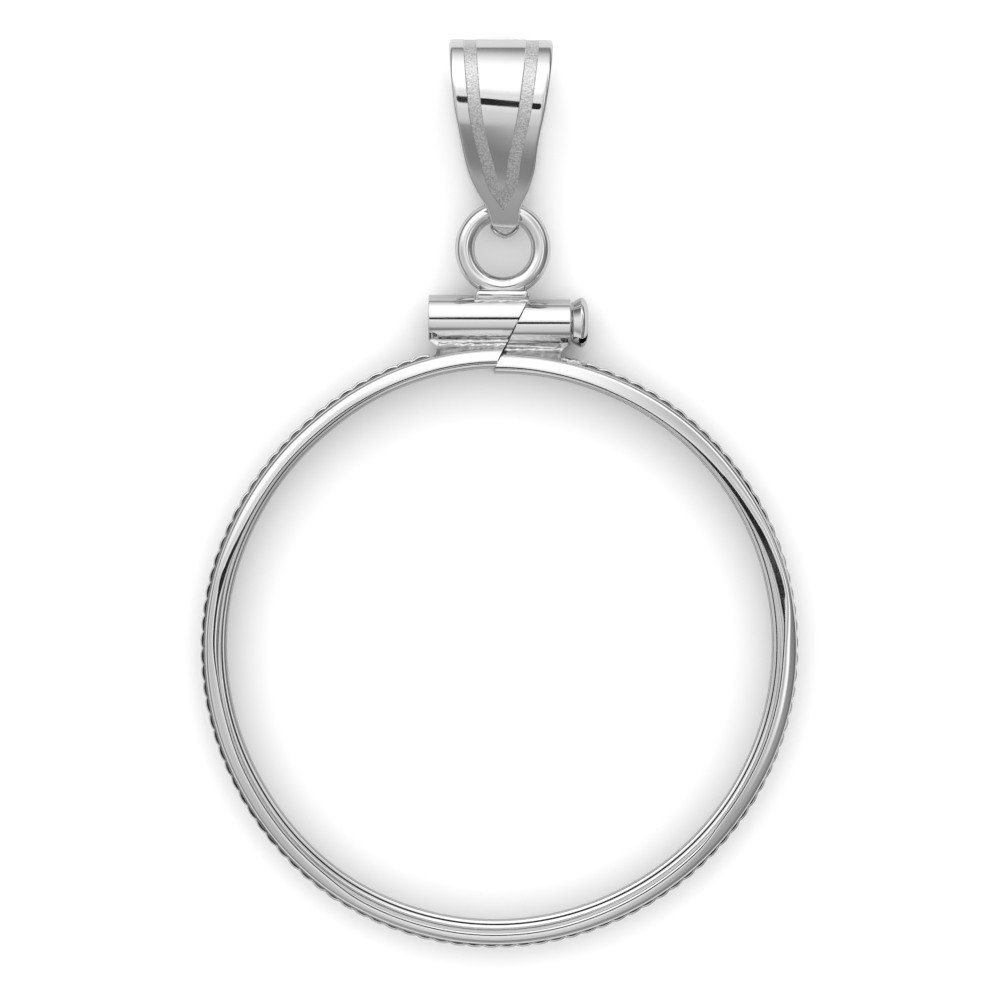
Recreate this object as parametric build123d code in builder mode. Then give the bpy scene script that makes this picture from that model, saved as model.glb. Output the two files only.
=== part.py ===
from build123d import *
from math import acos, asin, atan2, cos, hypot, radians, sin, sqrt
import os

# A screw-top coin bezel lying on its back, in millimetres.
# The origin is the centre of the coin seat, half-way through the hoop's depth.
# +Z is the front of the coin, +Y points from the coin to the bail, +X is the side of the screw's head.

# Coin and the groove that holds it
COIN_DIAMETER = 27.0
COIN_THICKNESS = 2.2
SEAT_CLEARANCE = 0.13
GROOVE_PLAY = 0.05

# Hoop section
HOOP_DEPTH = 3.1
FRONT_LIP = 0.27
BACK_LIP = 0.46
LIP_SHOULDER = 0.34
HOOP_WALL = 0.39

# Coin-edge band round the outside of the hoop
BUMP_HEIGHT = 0.2
BUMP_RADIUS = 0.5
BUMPS_PER_SIDE = 52
BAND_MARGIN = 0.08
BARE_ANGLE = 13.5

# The right half of the hoop closes a little tighter than the left half
CLOSING_STEP = 0.22

# Diagonal split through the tube and the hoop, as seen from the front
SPLIT_TOP = (1.37, 16.41)
SPLIT_FOOT = (-0.10, 13.43)
SPLIT_GAP = 0.06
SPLIT_MARGIN = 1.6
SPLIT_WASTE = 6.0
OVERRUN = 12.0

# Screw tube
TUBE_DIAMETER = 2.2
TUBE_LEFT_X = -3.35
TUBE_RIGHT_X = 3.40
TUBE_RISE = 1.64
TUBE_EDGE = 0.05

# Solder saddle between the tube and the hoop
SADDLE_LEFT_X = -2.98
SADDLE_RIGHT_X = 3.02
SADDLE_DEPTH = 1.9
SADDLE_HOLLOW = 0.16

# Bar on the left half of the tube
BAR_LEFT_X = -1.20
BAR_RIGHT_X = 1.44
BAR_HEIGHT = 0.52
BAR_PROUD = 0.23
BAR_DEPTH = 1.56
BAR_ROUND = 0.2

# Soldered loop
LOOP_X = 0.18
LOOP_HOLE = 2.71
LOOP_WIRE = 0.92
LOOP_SINK = 0.31

# Screw
SHANK_DIAMETER = 1.1
SHANK_CLEARANCE = 0.05
SHANK_LENGTH = 5.3
SHANK_POINT = 0.15
BLIND_DEPTH = 0.25
HEAD_GAP = 0.04
HEAD_NECK_DIAMETER = 1.86
HEAD_RIM_DIAMETER = 2.38
HEAD_FLARE = 0.52
HEAD_RIM = 0.06
HEAD_DOME = 0.22
DOME_SHARE = 0.62
HEAD_FACE_DIAMETER = 1.7
SLOT_WIDTH = 0.34
SLOT_DEPTH = 0.36
SLOT_TURN = 38.0

# Bail: a strip folded into a teardrop round the loop's wire
STRIP = 0.3
BARREL_DIAMETER = 5.9
BARREL_REACH = 5.17
POCKET_DIAMETER = 1.58
FLANK_RADIUS = 20.0
BAIL_X = 0.26
BAIL_LEAN = 1.2
BAIL_TOP_WIDTH = 4.88
TONGUE_WIDTH = 1.46
TONGUE_REACH = 0.4
TONGUE_SHORT = 0.05
BACK_TONGUE = 0.24
BACK_TONGUE_DEPTH = 0.42
BACK_TONGUE_LIFT = 0.1

# Where the strip's two edges run between its top and its tongue: reach is a share of BARREL_REACH,
# left and right are shares of half of BAIL_TOP_WIDTH
STRIP_EDGES = (
    {"reach": 1.10, "left": 0.94, "right": 0.85},
    {"reach": 0.65, "left": 0.81, "right": 0.67},
    {"reach": 0.45, "left": 0.73, "right": 0.62},
    {"reach": 0.26, "left": 0.58, "right": 0.51},
    {"reach": 0.06, "left": 0.37, "right": 0.31},
)

# Worked out from the sizes above
SEAT_RADIUS = COIN_DIAMETER / 2 + SEAT_CLEARANCE
GROOVE_HALF = (COIN_THICKNESS + GROOVE_PLAY) / 2
HALF_DEPTH = HOOP_DEPTH / 2
HALF_STEP = CLOSING_STEP / 2
WALL_RADIUS = SEAT_RADIUS + HOOP_WALL
LEFT_TUBE_Y = WALL_RADIUS + TUBE_RISE
RIGHT_TUBE_Y = LEFT_TUBE_Y - CLOSING_STEP
TUBE_RADIUS = TUBE_DIAMETER / 2
TUBE_TOP_Y = LEFT_TUBE_Y + TUBE_RADIUS
BORE_RADIUS = SHANK_DIAMETER / 2 + SHANK_CLEARANCE
HEAD_X = TUBE_RIGHT_X + HEAD_GAP
SHANK_END_X = HEAD_X - SHANK_LENGTH
LOOP_RADIUS = (LOOP_HOLE + LOOP_WIRE) / 2
LOOP_Y = TUBE_TOP_Y + BAR_PROUD + LOOP_RADIUS + LOOP_WIRE / 2 - LOOP_SINK
WIRE_Y = LOOP_Y + LOOP_RADIUS


def split_waste(side):
    """Corners of what is cut away from one half of the top, up to half of the gap past the split line."""
    run = SPLIT_TOP[0] - SPLIT_FOOT[0]
    rise = SPLIT_TOP[1] - SPLIT_FOOT[1]
    length = hypot(run, rise)
    along = (run / length, rise / length)
    across = (along[1] * side, -along[0] * side)
    below = -SPLIT_MARGIN
    above = length + SPLIT_MARGIN
    near = [
        (
            SPLIT_FOOT[0] + along[0] * reach + across[0] * SPLIT_GAP / 2,
            SPLIT_FOOT[1] + along[1] * reach + across[1] * SPLIT_GAP / 2,
        )
        for reach in (below, above)
    ]
    far = [(x - side * SPLIT_WASTE, y) for x, y in reversed(near)]
    return near + far


def hoop_section(seat):
    """Section of the hoop round a seat of that radius: groove, two half-round lips and the wall."""
    outside = seat + LIP_SHOULDER
    wall = seat + HOOP_WALL
    front_inside = seat - FRONT_LIP
    back_inside = seat - BACK_LIP
    band_half = GROOVE_HALF - BAND_MARGIN
    with BuildLine() as outline:
        Line((seat, GROOVE_HALF), (front_inside, GROOVE_HALF))
        ThreePointArc(
            (front_inside, GROOVE_HALF),
            ((front_inside + outside) / 2, HALF_DEPTH),
            (outside, GROOVE_HALF),
        )
        Polyline((outside, GROOVE_HALF), (wall, band_half), (wall, -band_half), (outside, -GROOVE_HALF))
        ThreePointArc(
            (outside, -GROOVE_HALF),
            ((back_inside + outside) / 2, -HALF_DEPTH),
            (back_inside, -GROOVE_HALF),
        )
        Polyline((back_inside, -GROOVE_HALF), (seat, -GROOVE_HALF), (seat, GROOVE_HALF))
    return outline.line


def saddle_end(side, end_x, tube_y, seat):
    """Outline of half of the solder saddle, hollow at its free end, from the split to end_x."""
    root = seat + HOOP_WALL / 2
    foot_x = end_x + side * SADDLE_HOLLOW * 2
    foot_y = sqrt((seat + HOOP_WALL) ** 2 - foot_x**2)
    root_y = sqrt(root**2 - foot_x**2)
    tip_y = tube_y - TUBE_RADIUS
    with BuildLine() as outline:
        Polyline((0, root), (foot_x, root_y), (foot_x, foot_y))
        ThreePointArc(
            (foot_x, foot_y),
            (end_x, (foot_y + tip_y) / 2),
            (end_x + side * SADDLE_HOLLOW, tip_y),
        )
        Polyline(
            (end_x + side * SADDLE_HOLLOW, tip_y),
            (end_x + side * SADDLE_HOLLOW, tube_y),
            (-side * SPLIT_MARGIN, tube_y),
            (-side * SPLIT_MARGIN, root - SADDLE_HOLLOW),
            (0, root),
        )
    return outline.line


def frame_half(side):
    """One half of the frame: side is 1 for the right half with the screw's head, -1 for the left half."""
    centre_y = -side * HALF_STEP / 2
    seat = SEAT_RADIUS - side * HALF_STEP / 2
    wall = seat + HOOP_WALL
    tube_y = RIGHT_TUBE_Y if side > 0 else LEFT_TUBE_Y
    tube_end = TUBE_RIGHT_X if side > 0 else TUBE_LEFT_X
    saddle_x = SADDLE_RIGHT_X if side > 0 else SADDLE_LEFT_X
    section = Plane(origin=(0, centre_y, 0), x_dir=(0, -1, 0), z_dir=(-1, 0, 0))
    with BuildPart() as half:
        with BuildSketch(section):
            add(hoop_section(seat))
            make_face()
        revolve(axis=Axis((0, centre_y, 0), (0, 0, side)), revolution_arc=180 + OVERRUN)

        # Bumps of the coin edge, left off beside the solder of the tube
        pitch = (180 - BARE_ANGLE) / BUMPS_PER_SIDE
        first = -90 + pitch / 2 if side > 0 else 90 + BARE_ANGLE + pitch / 2
        band_half = GROOVE_HALF - BAND_MARGIN
        with BuildSketch(Plane(origin=(0, centre_y, -band_half))):
            with PolarLocations(
                wall + BUMP_HEIGHT - BUMP_RADIUS,
                BUMPS_PER_SIDE,
                start_angle=first,
                angular_range=(BUMPS_PER_SIDE - 1) * pitch,
                endpoint=True,
            ):
                Circle(BUMP_RADIUS)
            Circle(seat + HOOP_WALL / 2, mode=Mode.SUBTRACT)
        extrude(amount=2 * band_half)

        # Tube, with its outer end's edge broken
        with BuildSketch(Plane.YZ.offset(tube_end)):
            with Locations((tube_y, 0)):
                Circle(TUBE_RADIUS)
        extrude(amount=-side * (abs(tube_end) + SPLIT_MARGIN))
        rim = half.edges(Select.LAST).filter_by(GeomType.CIRCLE).sort_by(Axis.X)[-1 if side > 0 else 0]
        chamfer(rim, TUBE_EDGE)

        # Solder saddle
        with BuildSketch(Plane.XY.offset(-SADDLE_DEPTH / 2)):
            add(saddle_end(side, saddle_x, tube_y, seat))
            make_face()
        extrude(amount=SADDLE_DEPTH)

        # Bar and loop stand on the left half
        if side < 0:
            with BuildSketch(Plane.XY.offset(-BAR_DEPTH / 2)):
                with Locations(((BAR_LEFT_X + BAR_RIGHT_X) / 2, TUBE_TOP_Y + BAR_PROUD - BAR_HEIGHT / 2)):
                    RectangleRounded(BAR_RIGHT_X - BAR_LEFT_X, BAR_HEIGHT, BAR_ROUND)
            extrude(amount=BAR_DEPTH)

        # The split, and the bore for the screw
        with BuildSketch(Plane.XY.offset(-HOOP_DEPTH)):
            with BuildLine():
                Polyline(split_waste(side), close=True)
            make_face()
        extrude(amount=2 * HOOP_DEPTH, mode=Mode.SUBTRACT)
        with BuildSketch(Plane.YZ.offset(SHANK_END_X - BLIND_DEPTH)):
            with Locations((RIGHT_TUBE_Y, 0)):
                Circle(BORE_RADIUS)
        extrude(amount=TUBE_RIGHT_X - SHANK_END_X + 2 * BLIND_DEPTH, mode=Mode.SUBTRACT)
        if side < 0:
            with Locations((LOOP_X, LOOP_Y, 0)):
                Torus(LOOP_RADIUS, LOOP_WIRE / 2)
    return half.part


with BuildPart() as bezel_frame:
    add(frame_half(-1))
    add(frame_half(1))
bezel_frame.part.label = "bezel_frame"


# The screw turns about the right half's tube axis
with BuildPart() as top_screw:
    with BuildSketch(Plane.XY):
        with BuildLine():
            neck_x = HEAD_X + HEAD_FLARE
            rim_x = neck_x + HEAD_RIM
            face_x = rim_x + HEAD_DOME
            shank_top = RIGHT_TUBE_Y + SHANK_DIAMETER / 2
            rim_top = RIGHT_TUBE_Y + HEAD_RIM_DIAMETER / 2
            face_top = RIGHT_TUBE_Y + HEAD_FACE_DIAMETER / 2
            Polyline(
                (SHANK_END_X, RIGHT_TUBE_Y),
                (SHANK_END_X, shank_top - SHANK_POINT),
                (SHANK_END_X + SHANK_POINT, shank_top),
                (HEAD_X, shank_top),
                (HEAD_X, RIGHT_TUBE_Y + HEAD_NECK_DIAMETER / 2),
                (neck_x, rim_top),
                (rim_x, rim_top),
            )
            ThreePointArc(
                (rim_x, rim_top),
                (rim_x + HEAD_DOME * DOME_SHARE, (rim_top + face_top) / 2),
                (face_x, face_top),
            )
            Polyline((face_x, face_top), (face_x, RIGHT_TUBE_Y), (SHANK_END_X, RIGHT_TUBE_Y))
        make_face()
    revolve(axis=Axis((0, RIGHT_TUBE_Y, 0), (1, 0, 0)))
    with BuildSketch(Plane.YZ.offset(face_x)):
        with Locations((RIGHT_TUBE_Y, 0)):
            Rectangle(2 * HEAD_RIM_DIAMETER, SLOT_WIDTH, rotation=-SLOT_TURN)
    extrude(amount=-SLOT_DEPTH, mode=Mode.SUBTRACT)
top_screw.part.label = "top_screw"


# Bail frame: u runs from the wire to the barrel, n points to the bail's front, s is across the strip.
pocket_outside = POCKET_DIAMETER / 2 + STRIP
barrel_outside = BARREL_DIAMETER / 2
tip_arm = FLANK_RADIUS - pocket_outside
barrel_arm = FLANK_RADIUS - barrel_outside
flank_u = (tip_arm**2 - barrel_arm**2 + BARREL_REACH**2) / (2 * BARREL_REACH)
flank_n = -sqrt(tip_arm**2 - flank_u**2)
tip_turn = atan2(-flank_n, -flank_u)
barrel_turn = atan2(-flank_n, BARREL_REACH - flank_u)

# The bail is raised until its back, barrel or flank, rests on the surface that the hoop lies on.
barrel_tilt = asin((barrel_outside - HALF_DEPTH) / BARREL_REACH)
flank_tilt = atan2(flank_u, -flank_n) - acos((FLANK_RADIUS - HALF_DEPTH) / tip_arm)
tilt = max(barrel_tilt, flank_tilt)
lean = radians(BAIL_LEAN)
across_strip = Vector(cos(lean), sin(lean), 0)
along_bail = Vector(-sin(lean) * cos(tilt), cos(lean) * cos(tilt), sin(tilt))
out_front = across_strip.cross(along_bail)
bail_origin = Vector(BAIL_X, WIRE_Y, 0)
side_plane = Plane(origin=bail_origin, x_dir=along_bail, z_dir=across_strip)
face_plane = Plane(origin=bail_origin, x_dir=across_strip, z_dir=out_front)


def round_at(centre_u, centre_n, radius, turn):
    """Point of the bail's side outline on a circle, at an angle in radians from the u axis."""
    return (centre_u + radius * cos(turn), centre_n + radius * sin(turn))


def teardrop(inward):
    """Closed side outline of the bail: barrel, two flanks and the pocket's end, moved inward."""
    barrel = barrel_outside - inward
    pocket = pocket_outside - inward
    flank = FLANK_RADIUS - inward
    middle = (tip_turn + barrel_turn) / 2
    front_high = round_at(BARREL_REACH, 0, barrel, barrel_turn)
    front_low = round_at(0, 0, pocket, tip_turn)
    back_high = (front_high[0], -front_high[1])
    back_low = (front_low[0], -front_low[1])
    front_middle = round_at(flank_u, flank_n, flank, middle)
    with BuildLine() as outline:
        ThreePointArc(front_high, (BARREL_REACH + barrel, 0), back_high)
        ThreePointArc(back_high, (front_middle[0], -front_middle[1]), back_low)
        ThreePointArc(back_low, (-pocket, 0), front_low)
        ThreePointArc(front_low, front_middle, front_high)
    return outline.line


def strip_edge(side, column):
    """Points of one edge of the strip seen from the front, from its top to the corner of its tongue."""
    half = BAIL_TOP_WIDTH / 2
    top = (side * half, BARREL_REACH + barrel_outside + STRIP)
    middle = [(side * half * row[column], BARREL_REACH * row["reach"]) for row in STRIP_EDGES]
    return [top, *middle, (side * TONGUE_WIDTH / 2, -TONGUE_REACH)]


def strip_outline():
    """Outline of the bail from the front: wide at the barrel, drawn in to a round-ended tongue."""
    left = strip_edge(-1, "left")
    right = strip_edge(1, "right")
    tip = (0, -pocket_outside + TONGUE_SHORT)
    down = [(0, -1), (0, -1)]
    with BuildLine() as outline:
        Spline(left, tangents=down)
        ThreePointArc(left[-1], tip, right[-1])
        Spline(right, tangents=down)
        Line(right[0], left[0])
    return outline.line


with BuildPart() as bail:
    with BuildSketch(side_plane.offset(-BAIL_TOP_WIDTH)):
        add(teardrop(0))
        make_face()
    extrude(amount=2 * BAIL_TOP_WIDTH)
    with BuildSketch(face_plane.offset(-BARREL_DIAMETER)):
        add(strip_outline())
        make_face()
    extrude(amount=2 * BARREL_DIAMETER, mode=Mode.INTERSECT)

    # The back end of the strip shows a little below the front end
    with BuildSketch(face_plane.offset(BACK_TONGUE_LIFT - pocket_outside)):
        with Locations((0, -TONGUE_REACH - BACK_TONGUE)):
            Circle(TONGUE_WIDTH / 2)
    extrude(amount=BACK_TONGUE_DEPTH)

    with BuildSketch(side_plane.offset(-BAIL_TOP_WIDTH)):
        add(teardrop(STRIP))
        make_face()
    extrude(amount=2 * BAIL_TOP_WIDTH, mode=Mode.SUBTRACT)
bail.part.label = "bail"

os.makedirs("parts", exist_ok=True)
export_step(bezel_frame.part, "parts/bezel_frame.step")
export_step(top_screw.part, "parts/top_screw.step")
export_step(bail.part, "parts/bail.step")
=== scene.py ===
"""A screw-top coin bezel lying on pale paper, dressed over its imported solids.

The pieces are shaped in millimetres and turned into metres as each one is finished.
The origin is the centre of the coin seat, +Z its front, +Y the way to the bail, +X the screw's head.
"""

import logging
import math
from collections.abc import Callable, Iterable, Iterator, Sequence
from contextlib import contextmanager
from dataclasses import dataclass
from enum import Enum

import bmesh
import bpy
import numpy as np
from mathutils import Matrix, Vector


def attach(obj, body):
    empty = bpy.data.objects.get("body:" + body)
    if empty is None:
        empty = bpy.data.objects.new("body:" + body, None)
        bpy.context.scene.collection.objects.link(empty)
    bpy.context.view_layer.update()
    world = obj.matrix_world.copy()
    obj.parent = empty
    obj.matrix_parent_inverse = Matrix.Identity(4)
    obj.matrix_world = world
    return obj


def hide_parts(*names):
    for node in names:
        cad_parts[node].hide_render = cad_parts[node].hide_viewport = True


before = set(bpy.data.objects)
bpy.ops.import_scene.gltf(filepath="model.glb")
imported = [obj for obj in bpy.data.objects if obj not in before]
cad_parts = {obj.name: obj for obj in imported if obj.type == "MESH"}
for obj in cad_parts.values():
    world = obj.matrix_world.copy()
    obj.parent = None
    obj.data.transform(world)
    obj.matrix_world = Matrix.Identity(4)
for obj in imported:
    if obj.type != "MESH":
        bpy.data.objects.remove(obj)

MM = 0.001
LOG = logging.getLogger("coin_bezel")
READINGS: dict[float, tuple[float, ...]] = {}

Piece = bpy.types.Object
Look = bpy.types.Material
Socket = bpy.types.NodeSocket
Pair = tuple[float, float]
Triple = tuple[float, float, float]
Colour = tuple[float, float, float, float]
Curve = tuple[Pair, ...]


class Part(Enum):
    """What is picked in edit mode."""

    CORNERS = "VERT"
    EDGES = "EDGE"
    FACES = "FACE"


class Side(Enum):
    """The half of the frame without the screw's head, or the half with it."""

    LEFT = -1
    RIGHT = 1


class Body(Enum):
    """The bodies that move by themselves, each with one CAD node of the same name."""

    FRAME = "bezel_frame"
    SCREW = "top_screw"
    BAIL = "bail"


# Workbench: picking, shaping and finishing a piece


def clamp(value: float) -> float:
    """A value kept between 0 and 1."""
    return max(0.0, min(1.0, value))


def pick_all() -> None:
    """Selects all of the piece in edit mode."""
    bpy.ops.mesh.select_all(action="SELECT")


def put_down() -> None:
    """Leaves edit mode and selects nothing."""
    if bpy.context.object is not None and bpy.context.object.mode != "OBJECT":
        bpy.ops.object.mode_set(mode="OBJECT")
    bpy.ops.object.select_all(action="DESELECT")


def take_up(*pieces: Piece) -> None:
    """Selects these objects alone, the first one active."""
    put_down()
    for piece in pieces:
        piece.select_set(True)
    bpy.context.view_layer.objects.active = pieces[0]


@contextmanager
def shaping(piece: Piece) -> Iterator[None]:
    """Edit mode on one piece, with all of it selected at the start.

    Args:
        piece: the object to shape.
    """
    take_up(piece)
    bpy.ops.object.mode_set(mode="EDIT")
    bpy.ops.mesh.select_mode(type=Part.CORNERS.value)
    pick_all()
    yield
    bpy.ops.object.mode_set(mode="OBJECT")


def pick(part: Part, keep: Callable[[Vector], bool]) -> None:
    """Selects the corners, edges or faces of the piece in edit mode whose middle passes a test.

    Args:
        part: what to select.
        keep: the test on the middle of each one, in the piece's own millimetres.
    """
    bpy.ops.mesh.select_mode(type=part.value)
    bpy.ops.mesh.select_all(action="DESELECT")
    mesh = bpy.context.object.data
    work = bmesh.from_edit_mesh(mesh)
    if part is Part.CORNERS:
        found = [corner for corner in work.verts if keep(corner.co)]
    elif part is Part.EDGES:
        found = [edge for edge in work.edges if keep((edge.verts[0].co + edge.verts[1].co) / 2)]
    else:
        found = [face for face in work.faces if keep(face.calc_center_median())]
    for item in found:
        item.select_set(True)
    work.select_flush_mode()
    bmesh.update_edit_mesh(mesh)


def draw_out(step: Triple) -> None:
    """Extrudes what is selected along a step."""
    bpy.ops.mesh.extrude_region_move(TRANSFORM_OT_translate={"value": step})


def named(name: str) -> Piece:
    """The active object, given its name.

    Args:
        name: the name.

    Returns:
        The object.
    """
    piece = bpy.context.object
    piece.name = name
    piece.data.name = name
    return piece


def modify(piece: Piece, kind: str, **settings: object) -> None:
    """Adds one modifier to a piece, sets it and applies it.

    Args:
        piece: the object to change.
        kind: the modifier's type.
        settings: its values by name.
    """
    take_up(piece)
    modifier = piece.modifiers.new(kind.lower(), kind)
    for name, value in settings.items():
        setattr(modifier, name, value)
    bpy.ops.object.modifier_apply(modifier=modifier.name)


def cut(piece: Piece, tool: Piece) -> None:
    """Takes the tool's shape out of a piece and removes the tool."""
    modify(piece, "BOOLEAN", operation="DIFFERENCE", object=tool, solver="EXACT")
    bpy.data.objects.remove(tool)


def gather(first: Piece, others: Iterable[Piece]) -> Piece:
    """Joins other objects into the first one.

    Args:
        first: the object that stays.
        others: the objects that go into it.

    Returns:
        The first object.
    """
    take_up(first, *others)
    bpy.ops.object.join()
    return first


def copy_of(piece: Piece, place: Matrix) -> Piece:
    """A copy with its own mesh, moved by a matrix.

    Args:
        piece: the object to copy.
        place: the matrix.

    Returns:
        The copy.
    """
    twin = piece.copy()
    twin.data = piece.data.copy()
    bpy.context.scene.collection.objects.link(twin)
    twin.matrix_world = place @ piece.matrix_world
    return twin


def settle(piece: Piece) -> None:
    """Puts a piece's place, turn and size into its mesh."""
    take_up(piece)
    bpy.ops.object.transform_apply(location=True, rotation=True, scale=True)


def close_seams(piece: Piece, gap: float = 0.0005) -> None:
    """Merges doubled corners and turns the faces outwards."""
    with shaping(piece):
        bpy.ops.mesh.remove_doubles(threshold=gap)
        bpy.ops.mesh.normals_make_consistent(inside=False)


def smooth(piece: Piece, degrees: float) -> None:
    """Shades a piece smooth, apart from edges sharper than an angle; large faces lead.

    Args:
        piece: the object to shade.
        degrees: the angle.
    """
    take_up(piece)
    bpy.ops.object.shade_smooth_by_angle(angle=math.radians(degrees))
    modify(piece, "WEIGHTED_NORMAL", keep_sharp=True, weight=100)


def lumpy(piece: Piece, size: float, height: float) -> None:
    """Raises and sinks a piece's surface as flowed solder does.

    Args:
        piece: the object to change.
        size: width of a lump in millimetres.
        height: how far the lumps rise in millimetres.
    """
    pattern = bpy.data.textures.new("solder_lumps", "CLOUDS")
    pattern.noise_scale = size
    pattern.noise_depth = 2
    modify(piece, "DISPLACE", texture=pattern, strength=height, mid_level=0.5, texture_coords="LOCAL")


def block(name: str, size: Triple, place: Triple, tilt: float = 0.0) -> Piece:
    """Makes a block.

    Args:
        name: its name.
        size: its size along each axis.
        place: its middle.
        tilt: degrees that it is turned about X.

    Returns:
        The block.
    """
    bpy.ops.mesh.primitive_cube_add(size=1.0)
    piece = named(name)
    piece.scale = size
    piece.rotation_euler = (math.radians(tilt), 0, 0)
    piece.location = place
    settle(piece)
    return piece


def rod(name: str, ends: Pair, place: Pair, radius: float, flats: int) -> Piece:
    """Makes a round rod along X.

    Args:
        name: its name.
        ends: where it starts and ends.
        place: its height and how far forward it lies.
        radius: its radius.
        flats: flats round it.

    Returns:
        The rod.
    """
    bpy.ops.mesh.primitive_cylinder_add(
        vertices=flats,
        radius=radius,
        depth=abs(ends[1] - ends[0]),
        location=(sum(ends) / 2, *place),
        rotation=(0, math.pi / 2, 0),
    )
    piece = named(name)
    settle(piece)
    return piece


def solder_line(name: str, ends: Pair, place: Pair, radius: float) -> Piece:
    """Makes a rough line of solder along X, standing out of the pieces that it joins.

    Args:
        name: the piece's name.
        ends: where it starts and ends.
        place: its height and how far forward it lies.
        radius: half of its width.

    Returns:
        The line.
    """
    cuts_per_millimetre = 11
    piece = rod(name, ends, place, radius, 32)
    with shaping(piece):
        pick(Part.FACES, lambda m: math.hypot(m.y - place[0], m.z - place[1]) > radius / 2)
        bpy.ops.mesh.subdivide(number_cuts=math.ceil(abs(ends[1] - ends[0]) * cuts_per_millimetre))
        pick_all()
        bpy.ops.mesh.quads_convert_to_tris()
    lumpy(piece, 0.25, radius * 1.2)
    return piece


# Finishes


class Tree:
    """A node tree, with short ways to add, join and reckon."""

    def __init__(self, tree: bpy.types.NodeTree) -> None:
        """Empties a tree, to be filled.

        Args:
            tree: the tree.
        """
        self.tree = tree
        self.tree.nodes.clear()

    def add(self, kind: str, **settings: object) -> bpy.types.Node:
        """Adds a node.

        Args:
            kind: the node's type.
            settings: its values by name.

        Returns:
            The node.
        """
        node = self.tree.nodes.new(kind)
        for name, value in settings.items():
            setattr(node, name, value)
        return node

    def join(self, out: Socket, into: Socket) -> None:
        """Links one socket to another."""
        self.tree.links.new(out, into)

    def work(self, operation: str, *values: Socket | float) -> Socket:
        """Does one sum.

        Args:
            operation: what is done.
            values: up to three sockets or numbers.

        Returns:
            The socket with the result.
        """
        node = self.add("ShaderNodeMath", operation=operation)
        for socket, value in zip(node.inputs, (*values, 0.0, 0.0)):
            if isinstance(value, Socket):
                self.join(value, socket)
            else:
                socket.default_value = value
        return node.outputs["Value"]


class Nodes(Tree):
    """A material's node tree round one shader."""

    def __init__(self, name: str) -> None:
        """Makes a material with a bare shader.

        Args:
            name: the material's name.
        """
        self.material = bpy.data.materials.new(name)
        self.material.use_nodes = True
        super().__init__(self.material.node_tree)
        output = self.add("ShaderNodeOutputMaterial")
        self.shader = self.add("ShaderNodeBsdfPrincipled")
        self.join(self.shader.outputs["BSDF"], output.inputs["Surface"])
        place = self.add("ShaderNodeTexCoord")
        scale = self.add("ShaderNodeMapping")
        scale.inputs["Scale"].default_value = (1 / MM, 1 / MM, 1 / MM)
        self.join(place.outputs["Object"], scale.inputs["Vector"])
        self.place = scale.outputs["Vector"]

    def metal(self, tone: Colour) -> None:
        """Makes the shader a metal of one colour."""
        self.shader.inputs["Metallic"].default_value = 1.0
        self.shader.inputs["Base Color"].default_value = tone

    def feed(self, name: str, value: Socket) -> None:
        """Links a value to one of the shader's sockets."""
        self.join(value, self.shader.inputs[name])

    def noise(self, size: float, detail: float = 3.0, stretch: Triple = (1, 1, 1)) -> Socket:
        """Noise with grains of a size.

        Args:
            size: width of a grain in millimetres.
            detail: how many finer layers it has.
            stretch: how much finer it is along each axis.

        Returns:
            The socket with the noise's value.
        """
        turned = self.add("ShaderNodeMapping")
        turned.inputs["Scale"].default_value = stretch
        self.join(self.place, turned.inputs["Vector"])
        node = self.add("ShaderNodeTexNoise")
        node.inputs["Scale"].default_value = 1 / size
        node.inputs["Detail"].default_value = detail
        self.join(turned.outputs["Vector"], node.inputs["Vector"])
        return node.outputs["Fac"]

    def spread(
        self, value: Socket, low: float, high: float, start: float = 0.35, end: float = 0.65
    ) -> Socket:
        """A value mapped to a range.

        Args:
            value: the socket to map.
            low: the result at start.
            high: the result at end.
            start: the value that gives low.
            end: the value that gives high.

        Returns:
            The socket with the mapped value.
        """
        node = self.add("ShaderNodeMapRange")
        for name, number in (("From Min", start), ("From Max", end), ("To Min", low), ("To Max", high)):
            node.inputs[name].default_value = number
        self.join(value, node.inputs["Value"])
        return node.outputs["Result"]

    def bump(self, height: Socket, rise: float, below: Socket | None = None) -> Socket:
        """Bump of a height field.

        Args:
            height: the socket with the height, 0 to 1.
            rise: the height of 1 in millimetres.
            below: another bump's normal to lie on.

        Returns:
            The socket with the normal.
        """
        node = self.add("ShaderNodeBump")
        node.inputs["Strength"].default_value = 1.0
        node.inputs["Distance"].default_value = rise * MM
        self.join(height, node.inputs["Height"])
        if below is not None:
            self.join(below, node.inputs["Normal"])
        return node.outputs["Normal"]


@dataclass(frozen=True)
class PolishedMetal:
    """Buffed white gold: nearly a mirror, with slow waves and fine buffing lines.

    Attributes:
        name: the material's name.
        tone: the metal's colour.
        gloss: least and most roughness.
        wave_size: width of the slow waves in millimetres.
        wave_rise: height of the slow waves in millimetres.
        line_size: width of the buffing lines in millimetres.
        line_rise: depth of the buffing lines in millimetres.
    """

    name: str = "polished_metal"
    tone: Colour = (0.67, 0.67, 0.67, 1.0)
    gloss: Pair = (0.03, 0.09)
    wave_size: float = 2.2
    wave_rise: float = 0.004
    line_size: float = 0.07
    line_rise: float = 0.00012

    def material(self) -> Look:
        """Builds the material.

        Returns:
            The material.
        """
        nodes = Nodes(self.name)
        nodes.metal(self.tone)
        haze = nodes.noise(self.wave_size, 5.0)
        nodes.feed("Roughness", nodes.spread(haze, *self.gloss))
        waves = nodes.bump(nodes.noise(self.wave_size, 1.0), self.wave_rise)
        lines = nodes.noise(self.line_size, 2.0, (1.0, 0.25, 1.0))
        nodes.feed("Normal", nodes.bump(lines, self.line_rise, waves))
        return nodes.material


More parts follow.
